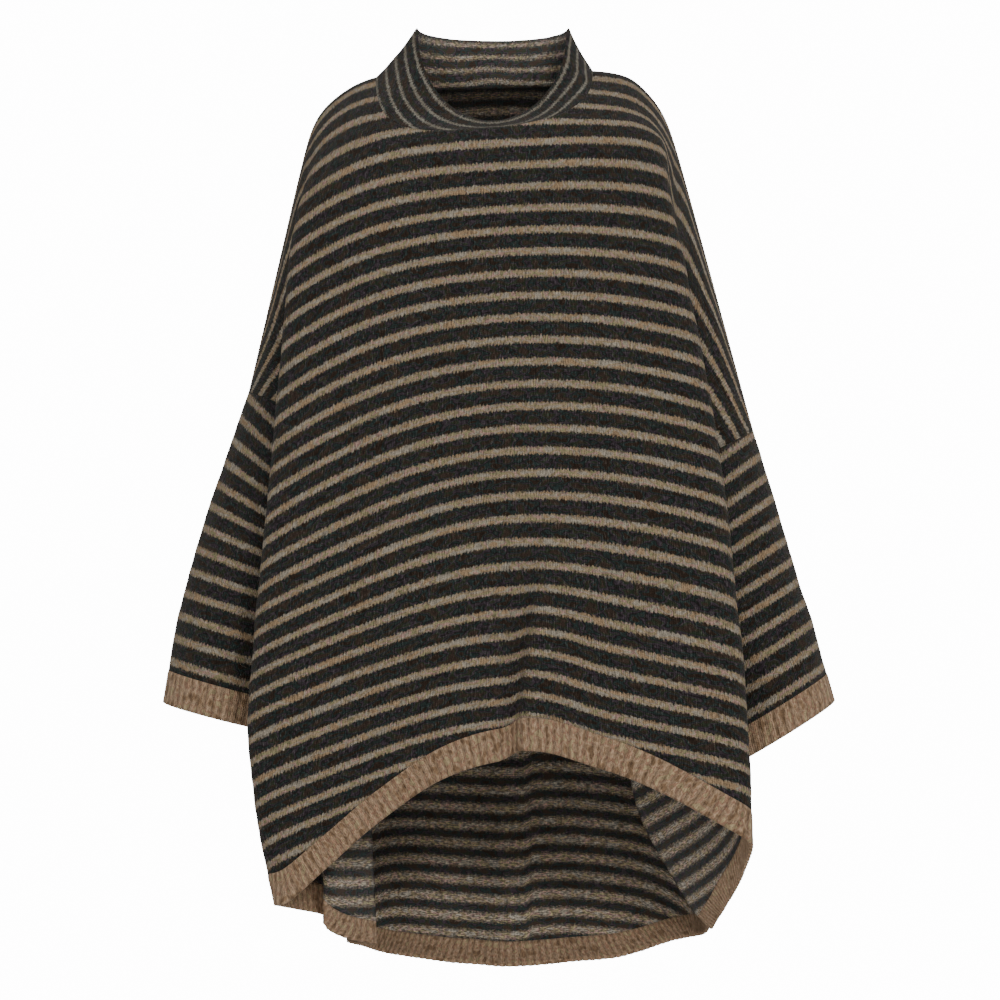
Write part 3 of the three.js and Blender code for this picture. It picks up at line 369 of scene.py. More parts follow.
def sideNet(side, backward, courses):
    y, z = centreRow(backward, courses)
    read = lambda name: smoothColumn(side["back" if backward else "front"], "course", name, courses)
    sign = side["sign"]
    columns = [
        vec(sign * chest["across"], y + (read("faceY") - y) * chest["curve"], z - read("middle")),
        vec(sign * read("face"), read("faceY"), z - read("faceDrop")),
        vec(sign * read("rear"), read("rearY"), z - read("rearDrop")),
    ]
    for rows in sideStations(side, backward):
        columns.append(vec(*(smoothColumn(rows, "course", axis, courses) for axis in "xyz")))
    onArm = armholePoint(side, np.clip(courses / cloth["armholeDepth"], 0, 1), backward)
    columns.append(np.where((courses <= cloth["armholeDepth"])[:, None], onArm, seamPoint(side, courses)))
    return columns


def foldDepth(folds, x, course):
    depth = np.zeros_like(x)
    before, after = foldEnds["before"], foldEnds["after"]
    for top, bottom, topX, bottomX, width, deep in zip(*(folds[n] for n in foldNames.split())):
        share = np.clip((course - top) / (bottom - top), 0, 1)
        line = topX + (bottomX - topX) * share
        grow = ramp(top - before, top + after, course)
        fade = 1 if bottom > foldEnds["openBelow"] else 1 - ramp(bottom - after, bottom + before, course)
        depth += deep * grow * fade * np.exp(-(((x - line) / width) ** 2))
    return depth


def hemCourse(backward, station):
    return smoothColumn(backHem if backward else frontHem, "station", "course", station)


def rollShare(backward, station, course):
    near = hemRoll["seamOnly"], hemRoll["gone"]
    fromSeam = np.minimum(station, lastStation - station)
    weight = 1.0 if backward else 1 - ramp(*near, fromSeam)
    rolled = 1 - (hemCourse(backward, station) - course) / hemRoll["reach"]
    return weight * np.clip(rolled, 0, hemRoll["most"]) ** 2


def surfaceNet(backward):
    # Control points: a row to each mm of course and a column to each station
    courses = np.arange(0, cloth["longest"] + 1.0)
    y, z = centreRow(backward, courses)
    right, left = (sideNet(side, backward, courses) for side in (rightSide, leftSide))
    net = right[::-1] + [vec(0, y, z)] + left
    net = [2 * net[0] - net[1]] + net + [2 * net[-1] - net[-2]]
    return np.stack(net, axis=1)


def splinePoint(net, station, course):
    c = np.clip(course, 0, cloth["longest"])
    row = np.minimum(np.floor(c), cloth["longest"] - 1).astype(int)
    f = (c - row)[..., None]
    i = np.clip(np.floor(station), 0, lastStation - 1).astype(int)
    t = station - i
    weights = ((1 - t) ** 3 / 6, (3 * t**3 - 6 * t**2 + 4) / 6,
               (-3 * t**3 + 3 * t**2 + 3 * t + 1) / 6, t**3 / 6)
    point = np.zeros(station.shape + (3,))
    for k, weight in enumerate(weights):
        point += weight[..., None] * (net[row, i + k] * (1 - f) + net[row + 1, i + k] * f)
    return point


def between(stations, at):
    return ramp(stations[0], stations[1], at) * (1 - ramp(stations[2], stations[3], at))


def addMiddleFold(point, x, course, onFace):
    m = middleFold
    share = np.clip((course - m["start"]) / m["length"], 0, 1)
    d = x - (m["topX"] - m["shift"] * share)
    beside = ramp(-m["edge"], m["edge"], d) * (1 - ramp(m["edge"], m["reach"], d))
    grown = onFace * ramp(m["start"], m["start"] + m["growth"], course)
    point[..., 2] += m["height"] * grown * beside
    over = grown * np.exp(-(((d - m["rollPlace"]) / m["rollWidth"]) ** 2))
    point[..., 1] -= m["roll"] * over
    point[..., 0] -= m["lean"] * over


def makeSurface(backward):
    net = surfaceNet(backward)
    facing = 1 if backward else -1
    folds, creases = (backFolds, backCreases) if backward else (frontFolds, frontCreases)

    def surface(station, course):
        station, course = np.broadcast_arrays(np.asarray(station, float), np.asarray(course, float))
        point = splinePoint(net, station, course)
        onFace, onWide = between(faceStations, station), between(wideStations, station)
        x = point[..., 0].copy()
        point[..., 1] -= facing * onFace * foldDepth(folds, x, course)
        point[..., 1] -= facing * onWide * foldDepth(creases, x, course) * ramp(*creaseStart, course)
        rolled = rollShare(backward, station, course)
        point[..., 1] -= hemRoll["forward"] * rolled
        point[..., 2] += hemRoll["lift"] * rolled
        if not backward:
            addMiddleFold(point, x, course, onFace)
        return point

    return surface


frontSurface = makeSurface(False)
backSurface = makeSurface(True)
surfaces = {False: frontSurface, True: backSurface}


def normalOf(surface, u, v, du=0.01, dv=1.0):
    return unit(np.cross(surface(u + du, v) - surface(u - du, v), surface(u, v + dv) - surface(u, v - dv)))


def neckCourse(backward, station):
    q = np.minimum(np.abs(station - (neckLeft + neckRight) / 2) / ((neckLeft - neckRight) / 2), 1)
    depth = cloth["backNeckDepth" if backward else "frontNeckDepth"]
    return depth * (1 - q ** neckCurve["inner"]) ** neckCurve["outer"]


# The seams that two pieces share: both walls end square to the same frame

def armholeNormal(side, turn, backward):
    top, under = armholePoint(side, 0.0, False), armholePoint(side, 1.0, False)
    along = unit(np.cross(top - under, np.array([0.0, side["sign"], 0.0])))
    tangent = armholePoint(side, turn + 0.01, backward) - armholePoint(side, turn - 0.01, backward)
    normal = unit(np.cross(unit(tangent), along))
    outward = armholePoint(side, turn, backward) - (top + under) / 2
    flip = np.where((normal * outward).sum(-1) < 0, -1.0, 1.0)
    return normal * flip[..., None]


def sideSeamNormal(side, course):
    near = 0.02 if side["sign"] < 0 else lastStation - 0.02
    station = np.full_like(course, near)
    normal = unit(normalOf(backSurface, station, course) - normalOf(frontSurface, station, course))
    edge = 0.0 if side["sign"] < 0 else lastStation
    down = unit(frontSurface(edge, course + 1) - frontSurface(edge, course - 1))
    across = unit(np.cross(down, normal) * -side["sign"])
    return unit(np.cross(across, down) * -side["sign"])


def neckPoint(backward, station):
    return surfaces[backward](station, neckCourse(backward, station))


def rimPoint(base):
    turn = np.arctan2(base[..., 1], base[..., 0] - (rim["middleX"] - 2))
    rise = np.sin(turn)
    x = rim["middleX"] + rim["halfWidth"] * np.cos(turn)
    y = np.where(rise < 0, rim["frontDepth"], rim["backDepth"]) * rise
    z = rim["cornerZ"] + np.where(rise < 0, rim["frontFall"] * rise, -rim["backFall"] * rise)
    return vec(x, y, z)


def neckFrame(backward, station):
    facing = 1 if backward else -1
    corner = (station <= neckRight + 1e-6) | (station >= neckLeft - 1e-6)
    base = neckPoint(backward, station)
    tangent = (neckPoint(backward, station + 0.004) - neckPoint(backward, station - 0.004)) * -facing
    side = np.where(station <= neckRight + 1e-6, -1.0, 1.0)
    tangent = unit(np.where(corner[:, None], vec(0, side, 0), tangent))
    panel = normalOf(surfaces[backward], station, neckCourse(backward, station) + 2) * facing
    panel[corner, 1] = 0
    up = unit(rimPoint(base) - base)
    normal = unit(unit(panel) - unit(np.cross(up, tangent)))
    return base, unit(normal - tangent * (normal * tangent).sum(-1)[:, None])


# Grids of points, and walls made from them

def gridNormals(points, closed):
    if closed:
        across = np.roll(points, -1, axis=1) - np.roll(points, 1, axis=1)
    else:
        across = np.gradient(points, axis=1)
    return unit(np.cross(across, np.gradient(points, axis=0)))


def linked(name, data):
    thing = bpy.data.objects.new(name, data)
    bpy.context.collection.objects.link(thing)
    return thing


def setUvs(data, uvs):
    layer = data.uv_layers.new(name="cloth")
    layer.data.foreach_set("uv", (uvs * mm).astype(np.float32).ravel())  # metres of flat cloth


def wallLoop(outer, inner, roundTop, roundBottom):
    # The rows run down the outside, round the lower edge, up the inside and round the upper edge
    down = unit(outer[-1] - outer[-2]) * roundBottom
    up = unit(outer[0] - outer[1]) * roundTop
    return np.concatenate([outer, [(outer[-1] + inner[-1]) / 2 + down], inner[::-1],
                           [(outer[0] + inner[0]) / 2 + up]])


def wallQuads(uvLoop, columns, closed):
    count = len(uvLoop)
    row = np.arange(count)[:, None]
    column = np.arange(columns if closed else columns - 1)[None, :]
    below = (row + 1) % count
    corners = ((row, column), (below, column), (below, column + 1), (row, column + 1))
    quads = np.stack([r * columns + c % columns for r, c in corners], axis=-1)
    uvs = np.stack([uvLoop[r, c] for r, c in corners], axis=2)
    return quads.reshape(-1, 4), uvs.reshape(-1, 4, 2)


def endFaces(uvLoop, rows, columns):
    # Both ends of an open wall: quads between outside and inside, and two triangles each
    a = np.arange(rows - 1)
    strip = np.stack([a, a + 1, 2 * rows - a, 2 * rows - a + 1], axis=-1)
    tips = np.array([[rows - 1, rows, rows + 1], [2 * rows, 2 * rows + 1, 0]])
    ends = ((0, strip[:, ::-1], tips), (columns - 1, strip, tips[:, ::-1]))
    quads = np.concatenate([quad * columns + column for column, quad, tri in ends])
    quadUvs = np.concatenate([uvLoop[quad, column] for column, quad, tri in ends])
    tris = np.concatenate([tri * columns + column for column, quad, tri in ends])
    triUvs = np.concatenate([uvLoop[tri, column] for column, quad, tri in ends])
    return quads, quadUvs, tris, triUvs


def turnedInward(points, quads):
    a, b, c, d = (points[quads[:, k]] for k in range(4))
    return (np.cross(a, b) * c).sum() + (np.cross(a, c) * d).sum() < 0


def wallObject(name, outer, inner, uv, closed, materials, roundTop=0.0, roundBottom=0.0):
    rows, columns = outer.shape[:2]
    points = wallLoop(outer, inner, roundTop, roundBottom).reshape(-1, 3)
    uvLoop = np.concatenate([uv, uv[-1:], uv[::-1], uv[:1]])
    quads, quadUvs = wallQuads(uvLoop, columns, closed)
    row = np.arange(len(quads)) // (columns if closed else columns - 1)
    inside = (row > rows) & (row < 2 * rows)
    inward = turnedInward(points, quads)
    parts = [quads, quadUvs]
    if not closed:
        endQuads, endUvs, tris, triUvs = endFaces(uvLoop, rows, columns)
        parts = [np.concatenate([quads, endQuads]), np.concatenate([quadUvs, endUvs]), tris, triUvs]
    if inward:
        parts = [part[:, ::-1] for part in parts]
    faces = [face for corners in parts[::2] for face in corners.tolist()]
    data = bpy.data.meshes.new(name)
    data.from_pydata((points * mm).tolist(), [], faces)
    setUvs(data, np.concatenate([uvs.reshape(-1, 2) for uvs in parts[1::2]]))
    data.polygons.foreach_set("use_smooth", np.ones(len(faces), bool))
    for material in materials:
        data.materials.append(material)
    slots = np.zeros(len(faces), np.int32)
    slots[:len(inside)] = inside
    data.polygons.foreach_set("material_index", slots)
    data.update()
    print(name, "faces", len(faces))
    return linked(name, data)


def plainWalls(point, normal):
    half = cloth["thickness"] / 2
    return point + normal * half, point - normal * half


lumpSizes = {"small": 8.5, "smallRise": 0.34, "wide": 41.0, "wideRise": 0.8}


def lumps(u, v, seed, edge):
    # Hand of the knit: nothing is quite flat; it dies out toward the seams
    small = softNoise(u, v, lumpSizes["small"], seed) * lumpSizes["smallRise"]
    wide = softNoise(u, v, lumpSizes["wide"], seed + 1) * lumpSizes["wideRise"]
    return (small + wide) * edge


# Shader node groups

def addNode(tree, kind, **values):
    node = tree.nodes.new(kind)
    for key, value in values.items():
        setattr(node, key, value)
    return node


def join(tree, source, target):
    tree.links.new(source, target)


def mathNode(tree, operation, a, b=None, c=None, clamp=False):
    node = addNode(tree, "ShaderNodeMath", operation=operation, use_clamp=clamp)
    for k, value in enumerate((a, b, c)):
        if value is None:
            continue
        if isinstance(value, (int, float)):
            node.inputs[k].default_value = value
        else:
            join(tree, value, node.inputs[k])
    return node.outputs[0]


def newGroup(name, inputs, outputs):
    # A tuple makes a colour socket, a number a plain value
    group = bpy.data.node_groups.new(name, "ShaderNodeTree")
    for way, sockets in (("INPUT", inputs), ("OUTPUT", outputs)):
        for label, value in sockets.items():
            kind = "NodeSocketColor" if isinstance(value, tuple) else "NodeSocketFloat"
            socket = group.interface.new_socket(name=label, in_out=way, socket_type=kind)
            socket.default_value = value
    return group, addNode(group, "NodeGroupInput"), addNode(group, "NodeGroupOutput")


def mixColour(tree, share, a, b, blend="MIX"):
    node = addNode(tree, "ShaderNodeMix", data_type="RGBA", blend_type=blend)
    for socket, value in ((node.inputs[0], share), (node.inputs[6], a), (node.inputs[7], b)):
        if isinstance(value, (int, float)):
            socket.default_value = value
        elif isinstance(value, tuple):
            socket.default_value = value + (1.0,)
        else:
            join(tree, value, socket)
    return node.outputs[2]


def rampNode(tree, share, stops):
    node = addNode(tree, "ShaderNodeValToRGB")
    marks = node.color_ramp.elements
    while len(marks) < len(stops):
        marks.new(0.5)
    for mark, (place, colour) in zip(marks, stops):
        mark.position = place
        mark.color = colour + (1.0,)
    join(tree, share, node.inputs[0])
    return node.outputs[0]


def archNode(tree, place):
    # Nothing at both ends of a turn and most in its middle
    return mathNode(tree, "MULTIPLY", mathNode(tree, "SUBTRACT", 1.0, place), place)


def knitStitches():
    # V stitches: rows zigzag across each wale, and each leg is a plump strand
    group, into, out = newGroup(
        "knitStitches",
        {"Across": 0.0, "Course": 0.0, "Wale": 3.3, "Row": 2.256, "Slant": 0.55},
        {"Rows": 0.0, "Leg": 0.0, "Height": 0.0},
    )
    wales = mathNode(group, "DIVIDE", into.outputs["Across"], into.outputs["Wale"])
    zig = mathNode(group, "ABSOLUTE", mathNode(group, "SUBTRACT", mathNode(group, "FRACT", wales), 0.5))
    flatRows = mathNode(group, "DIVIDE", into.outputs["Course"], into.outputs["Row"])
    tilt = mathNode(group, "MULTIPLY", zig, into.outputs["Slant"])
    rows = mathNode(group, "ADD", flatRows, mathNode(group, "MULTIPLY", tilt, 2.0))
    legPlace = mathNode(group, "FRACT", mathNode(group, "MULTIPLY", wales, 2.0))
    leg = mathNode(group, "MULTIPLY", archNode(group, legPlace), 4.0)
    plump = mathNode(group, "MULTIPLY", archNode(group, mathNode(group, "FRACT", rows)), 4.0)
    height = mathNode(group, "MULTIPLY_ADD", leg, 0.6, mathNode(group, "MULTIPLY", plump, 0.4))
    join(group, rows, out.inputs["Rows"])
    join(group, leg, out.inputs["Leg"])
    join(group, height, out.inputs["Height"])
    return group


def knitStripes():
    # A soft-edged band every so many rows
    group, into, out = newGroup(
        "knitStripes",
        {"Rows": 0.0, "Start": 0.0, "Period": 10.0, "Wide": 4.2, "Soft": 0.5},
        {"Stripe": 0.0},
    )
    half = mathNode(group, "MULTIPLY", into.outputs["Wide"], 0.5)
    past = mathNode(group, "SUBTRACT", into.outputs["Rows"], into.outputs["Start"])
    turns = mathNode(group, "DIVIDE", past, into.outputs["Period"])
    turns = mathNode(group, "FRACT", mathNode(group, "ADD", turns, 0.5))
    place = mathNode(group, "ABSOLUTE", mathNode(group, "SUBTRACT", turns, 0.5))
    place = mathNode(group, "MULTIPLY", place, into.outputs["Period"])
    inset = mathNode(group, "DIVIDE", mathNode(group, "SUBTRACT", half, place), into.outputs["Soft"])
    join(group, mathNode(group, "ADD", inset, 0.5, clamp=True), out.inputs["Stripe"])
    return group


def yarnMelange():
    # Slow drifts of colour along the yarn, and fine streaks and hairs down the stitch columns
    group, into, out = newGroup(
        "yarnMelange",
        {"Across": 0.0, "Course": 0.0, "Length": 14.0, "Height": 8.0, "Seed": 0.0},
        {"Drift": 0.0, "Second": 0.0, "Streak": 0.0, "Hair": 0.0},
    )
    length, height = into.outputs["Length"], into.outputs["Height"]
    layers = {  # width, height, seed and detail of each noise
        "Drift": (length, height, 0.0, 1.0),
        "Second": (length, height, 7.7, 1.0),
        "Streak": (2.2, 3.0, 15.1, 2.0),
        "Hair": (1.3, 5.0, 23.9, 2.0),
    }
    for label, (wide, high, seed, detail) in layers.items():
        place = addNode(group, "ShaderNodeCombineXYZ")
        join(group, mathNode(group, "DIVIDE", into.outputs["Across"], wide), place.inputs[0])
        join(group, mathNode(group, "DIVIDE", into.outputs["Course"], high), place.inputs[1])
        join(group, mathNode(group, "ADD", into.outputs["Seed"], seed), place.inputs[2])
        texture = addNode(group, "ShaderNodeTexNoise", noise_dimensions="3D")
        texture.inputs["Scale"].default_value = 1.0
        texture.inputs["Detail"].default_value = detail
        join(group, place.outputs[0], texture.inputs["Vector"])
        join(group, texture.outputs["Fac"], out.inputs[label])
    return group


def yarnShade():
    # A colour made darker or lighter by a grey value
    grey = (0.5, 0.5, 0.5, 1.0)
    group, into, out = newGroup("yarnShade", {"Colour": grey, "Light": 1.0}, {"Colour": grey})
    light = addNode(group, "ShaderNodeCombineXYZ")
    for k in range(3):
        join(group, into.outputs["Light"], light.inputs[k])
    shaded = mixColour(group, 1.0, into.outputs["Colour"], light.outputs[0], "MULTIPLY")
    join(group, shaded, out.inputs["Colour"])
    return group


groups = {"stitches": knitStitches(), "stripes": knitStripes(), "melange": yarnMelange(),
          "shade": yarnShade()}


def placeGroup(tree, name, **values):
    node = addNode(tree, "ShaderNodeGroup", node_tree=groups[name])
    for key, value in values.items():
        if isinstance(value, (int, float)):
            node.inputs[key].default_value = value
        else:
            join(tree, value, node.inputs[key])
    return node


def newMaterial(name):
    material = bpy.data.materials.new(name)
    material.use_nodes = True
    tree = material.node_tree
    shader = tree.nodes["Principled BSDF"]
    uv = addNode(tree, "ShaderNodeUVMap", uv_map="cloth")
    split = addNode(tree, "ShaderNodeSeparateXYZ")
    join(tree, uv.outputs[0], split.inputs[0])
    across = mathNode(tree, "MULTIPLY", split.outputs[0], 1000.0)
    course = mathNode(tree, "MULTIPLY", split.outputs[1], 1000.0)
    return material, tree, shader, across, course


darkYarn = [
    (0.36, (0.023, 0.014, 0.009)), (0.43, (0.017, 0.029, 0.027)), (0.48, (0.012, 0.010, 0.008)),
    (0.52, (0.041, 0.029, 0.038)), (0.57, (0.018, 0.026, 0.014)), (0.64, (0.034, 0.022, 0.016)),
]
tanYarn = [
    (0.36, (0.26, 0.225, 0.175)), (0.43, (0.265, 0.190, 0.115)), (0.48, (0.20, 0.188, 0.098)),
    (0.52, (0.30, 0.180, 0.150)), (0.57, (0.24, 0.222, 0.165)), (0.64, (0.265, 0.180, 0.105)),
]
greyYarn = [
    (0.36, (0.20, 0.185, 0.15)), (0.47, (0.165, 0.140, 0.105)), (0.57, (0.205, 0.19, 0.155)),
]
# The purl side's tan, painted lighter than the face's tan yarn: painted light against the shade inside the
# garment
paintedLightPurlYarn = [
    (0.36, (0.36, 0.32, 0.26)), (0.44, (0.29, 0.215, 0.14)), (0.50, (0.33, 0.290, 0.16)),
    (0.55, (0.38, 0.240, 0.200)), (0.62, (0.33, 0.285, 0.22)),
]
camelYarn = [
    (0.36, (0.20, 0.122, 0.068)), (0.44, (0.31, 0.205, 0.125)), (0.50, (0.35, 0.240, 0.155)),
    (0.56, (0.28, 0.155, 0.098)), (0.64, (0.34, 0.255, 0.145)),
]
stripeKnit = {
    "start": 47.9, "period": 10.0, "wide": 3.2, "ragged": 1.5, "soft": 0.9,
    "hair": 0.22, "hairContrast": (5.0, -2.9), "hairColour": (0.16, 0.15, 0.14),
    "stitchShade": 0.55, "streak": (2.4, -0.2), "hairRelief": 0.9, "bump": 0.6, "relief": 0.0011,
    "surface": {"Roughness": 0.92, "Specular IOR Level": 0.12, "Sheen Weight": 0.10,
                "Sheen Roughness": 0.45, "Sheen Tint": (0.62, 0.56, 0.48, 1)},
}
purlKnit = {
    "wide": 4.6, "ragged": 2.2, "soft": 2.2, "slant": 0.2, "length": 8.0, "height": 14.0,
    "bar": (2.4, 0.4), "dash": (7.0, -3.0), "light": (1.5, 0.9), "bump": 0.6, "relief": 0.0012,
    "surface": {"Roughness": 0.95, "Specular IOR Level": 0.1, "Sheen Weight": 0.1,
                "Sheen Roughness": 0.5},
}
ribKnit = {
    "length": 6.0, "height": 12.0, "wale": 3.5, "slant": 0.7, "grooveShade": (0.46, 0.74),
    "streak": (1.9, 0.05), "hairRelief": 1.2, "bump": 0.7, "relief": 0.0012,
    "surface": {"Roughness": 0.92, "Specular IOR Level": 0.12, "Sheen Weight": 0.18,
                "Sheen Roughness": 0.45, "Sheen Tint": (0.8, 0.7, 0.58, 1)},
}
rib = {"pitch": 7.0, "outside": 0.7, "inside": 0.3, "level": 0.55, "swing": 0.45,
       "foot": 0.25, "rest": 0.75, "footEnd": 0.12, "roundEdge": 0.9}


def raggedRows(tree, stitches, melange, ragged):
    shift = mathNode(tree, "MULTIPLY_ADD", melange.outputs["Streak"], 2 * ragged, -ragged)
    return mathNode(tree, "ADD", stitches.outputs["Rows"], shift)


def finishYarn(tree, shader, colour, light, height, knit):
    shaded = placeGroup(tree, "shade", Colour=colour, Light=light)
    join(tree, shaded.outputs["Colour"], shader.inputs["Base Color"])
    bump = addNode(tree, "ShaderNodeBump")
    bump.inputs["Strength"].default_value = knit["bump"]
    bump.inputs["Distance"].default_value = knit["relief"]
    join(tree, height, bump.inputs["Height"])
    join(tree, bump.outputs[0], shader.inputs["Normal"])
    for label, value in knit["surface"].items():
        shader.inputs[label].default_value = value


def stripedFace(name, start, seed, period=stripeKnit["period"], wide=stripeKnit["wide"], yarn=tanYarn):
    material, tree, shader, across, course = newMaterial(name)
    stitches = placeGroup(tree, "stitches", Across=across, Course=course)
    melange = placeGroup(tree, "melange", Across=across, Course=course, Seed=seed)
    rows = raggedRows(tree, stitches, melange, stripeKnit["ragged"])
    stripe = placeGroup(tree, "stripes", Rows=rows, Start=start, Period=period, Wide=wide,
                        Soft=stripeKnit["soft"])
    dark = rampNode(tree, melange.outputs["Drift"], darkYarn)
    tan = rampNode(tree, melange.outputs["Second"], yarn)
    contrast = stripeKnit["hairContrast"]
    hair = mathNode(tree, "MULTIPLY_ADD", melange.outputs["Hair"], *contrast, clamp=True)
    hair = mathNode(tree, "MULTIPLY", hair, stripeKnit["hair"])
    hairy = mixColour(tree, hair, dark, stripeKnit["hairColour"])
    colour = mixColour(tree, stripe.outputs["Stripe"], hairy, tan)
    shade = mathNode(tree, "MULTIPLY_ADD", stitches.outputs["Height"], stripeKnit["stitchShade"],
                     1 - stripeKnit["stitchShade"] * 0.7)
    streak = mathNode(tree, "MULTIPLY_ADD", melange.outputs["Hair"], *stripeKnit["streak"])
    light = mathNode(tree, "MULTIPLY", shade, streak)
    height = mathNode(tree, "MULTIPLY_ADD", melange.outputs["Hair"], stripeKnit["hairRelief"],
                      stitches.outputs["Height"])
    finishYarn(tree, shader, colour, light, height, stripeKnit)
    return material


def stripedInside(name, start, seed, period=stripeKnit["period"], wide=purlKnit["wide"], dashes=0.8):
    # The purl side: rows of short bars, and each stripe breaks into dashes
    material, tree, shader, across, course = newMaterial(name)
    stitches = placeGroup(tree, "stitches", Across=across, Course=course, Slant=purlKnit["slant"])
    # The streaks run along the rows here, so the noise is turned by a quarter
    melange = placeGroup(tree, "melange", Across=course, Course=across, Length=purlKnit["length"],
                         Height=purlKnit["height"], Seed=seed)
    rows = raggedRows(tree, stitches, melange, purlKnit["ragged"])
    stripe = placeGroup(tree, "stripes", Rows=rows, Start=start, Period=period, Wide=wide,
                        Soft=purlKnit["soft"])
    dark = rampNode(tree, melange.outputs["Drift"], darkYarn)
    tan = rampNode(tree, melange.outputs["Second"], paintedLightPurlYarn)
    bar = archNode(tree, mathNode(tree, "FRACT", mathNode(tree, "MULTIPLY", rows, 0.5)))
    bar = mathNode(tree, "MULTIPLY_ADD", bar, *purlKnit["bar"], clamp=True)
    dash = mathNode(tree, "MULTIPLY_ADD", melange.outputs["Hair"], *purlKnit["dash"], clamp=True)
    broken = mathNode(tree, "MULTIPLY_ADD", mathNode(tree, "MULTIPLY", bar, dash), dashes, 1 - dashes)
    mark = mathNode(tree, "MULTIPLY", stripe.outputs["Stripe"], broken)
    # Painted light and shade: the purl side's colour is scaled by 0.9 to 2.4, lightest on the stitch tops and
    # darker between them, lifting the shaded inside
    light = mathNode(tree, "MULTIPLY_ADD", stitches.outputs["Height"], *purlKnit["light"])
    height = mathNode(tree, "ADD", bar, stitches.outputs["Leg"])
    finishYarn(tree, shader, mixColour(tree, mark, dark, tan), light, height, purlKnit)
    return material


def ribbedFace(name, seed, paintedLift):
    material, tree, shader, across, course = newMaterial(name)
    melange = placeGroup(tree, "melange", Across=across, Course=course, Length=ribKnit["length"],
                         Height=ribKnit["height"], Seed=seed)
    stitches = placeGroup(tree, "stitches", Across=across, Course=course, Wale=ribKnit["wale"],
                          Slant=ribKnit["slant"])
    colour = rampNode(tree, melange.outputs["Drift"], camelYarn)
    turns = mathNode(tree, "MULTIPLY", across, 2 * math.pi / rib["pitch"])
    crest = mathNode(tree, "MULTIPLY_ADD", mathNode(tree, "COSINE", turns), 0.5, 0.5)
    # Painted shade: the rib's grooves are painted darker than its crests (0.74 against 1.2 times)
    grooveShade = mathNode(tree, "MULTIPLY_ADD", crest, *ribKnit["grooveShade"])
    streak = mathNode(tree, "MULTIPLY_ADD", melange.outputs["Hair"], *ribKnit["streak"])
    # The last factor paints a whole copy of the rib lighter or darker
    light = mathNode(tree, "MULTIPLY", mathNode(tree, "MULTIPLY", grooveShade, streak), paintedLift)
    height = mathNode(tree, "MULTIPLY_ADD", melange.outputs["Hair"], ribKnit["hairRelief"],
                      stitches.outputs["Height"])
    finishYarn(tree, shader, colour, light, height, ribKnit)
    return material


bodyFace = stripedFace("bodyKnit", stripeKnit["start"], 3.0)
bodyInside = stripedInside("bodyKnitInside", stripeKnit["start"], 5.0)
sleeveFace = stripedFace("sleeveKnit", 2.0, 11.0)
sleeveInside = stripedInside("sleeveKnitInside", 2.0, 12.0)
collarFace = stripedFace("collarKnit", 2.6, 21.0, period=6.4, wide=1.45, yarn=greyYarn)
collarInside = stripedInside("collarKnitInside", 2.6, 22.0, period=6.4, wide=1.3, dashes=0.7)
ribFace = ribbedFace("camelRib", 31.0, 1.0)
# The rib's inside is painted 1.25 times lighter: painted light that makes up for the shade inside the hem and
# cuffs
ribInside = ribbedFace("camelRibInside", 32.0, 1.25)
print("materials made")


# The body panels

columnSpread = {"courses": (120.0, 430.0, 700.0), "steps": 1401, "cornerWidth": 0.12,
                "foldAt": 7.1, "foldWidth": 0.4, "foldExtra": 0.8, "closer": 1.2}
seamSettle = {"backWidth": 0.5, "frontWidth": 0.25, "underarm": 10, "underarmDrop": 3.6,
              "shoulder": 16, "neckRows": 8}
panelEdges = {"neck": 24, "hem": 20, "sides": 0.4}  # the lumps die out over these
bandEdge = {"top": 18, "lumps": 0.7}


def bell(at, middle, width):
    return np.exp(-(((at - middle) / width) ** 2))


def evenStations(backward):
    # Columns about as far apart everywhere, closer at the middle fold and at the neck's corners
    fine = np.linspace(0, lastStation, columnSpread["steps"])
    length = np.zeros(len(fine))
    for course in columnSpread["courses"]:
        points = surfaces[backward](fine, np.full(len(fine), course))
        steps = np.linalg.norm(np.diff(points, axis=0), axis=1)
        length[1:] += np.cumsum(steps) / 3
    width = columnSpread["cornerWidth"]
    extra = bell(fine, neckRight, width) + bell(fine, neckLeft, width)
    if not backward:
        extra += columnSpread["foldExtra"] * bell(fine, columnSpread["foldAt"], columnSpread["foldWidth"])
    closer = 1 + columnSpread["closer"] * extra[1:]
    dense = np.concatenate([[0], np.cumsum(np.diff(length) * closer)])
    count = int(round(dense[-1] / mesh["spacing"]))
    stations = np.interp(np.linspace(0, dense[-1], count + 1), dense, fine)
    for corner in (neckRight, neckLeft):
        stations[np.argmin(np.abs(stations - corner))] = corner
    return stations, fine, length


def flatAcross(backward, station):
    stations, fine, length = stationSets[backward]
    return np.interp(station, fine, length) - np.interp(lastStation / 2, fine, length)


stationSets = {False: evenStations(False), True: evenStations(True)}


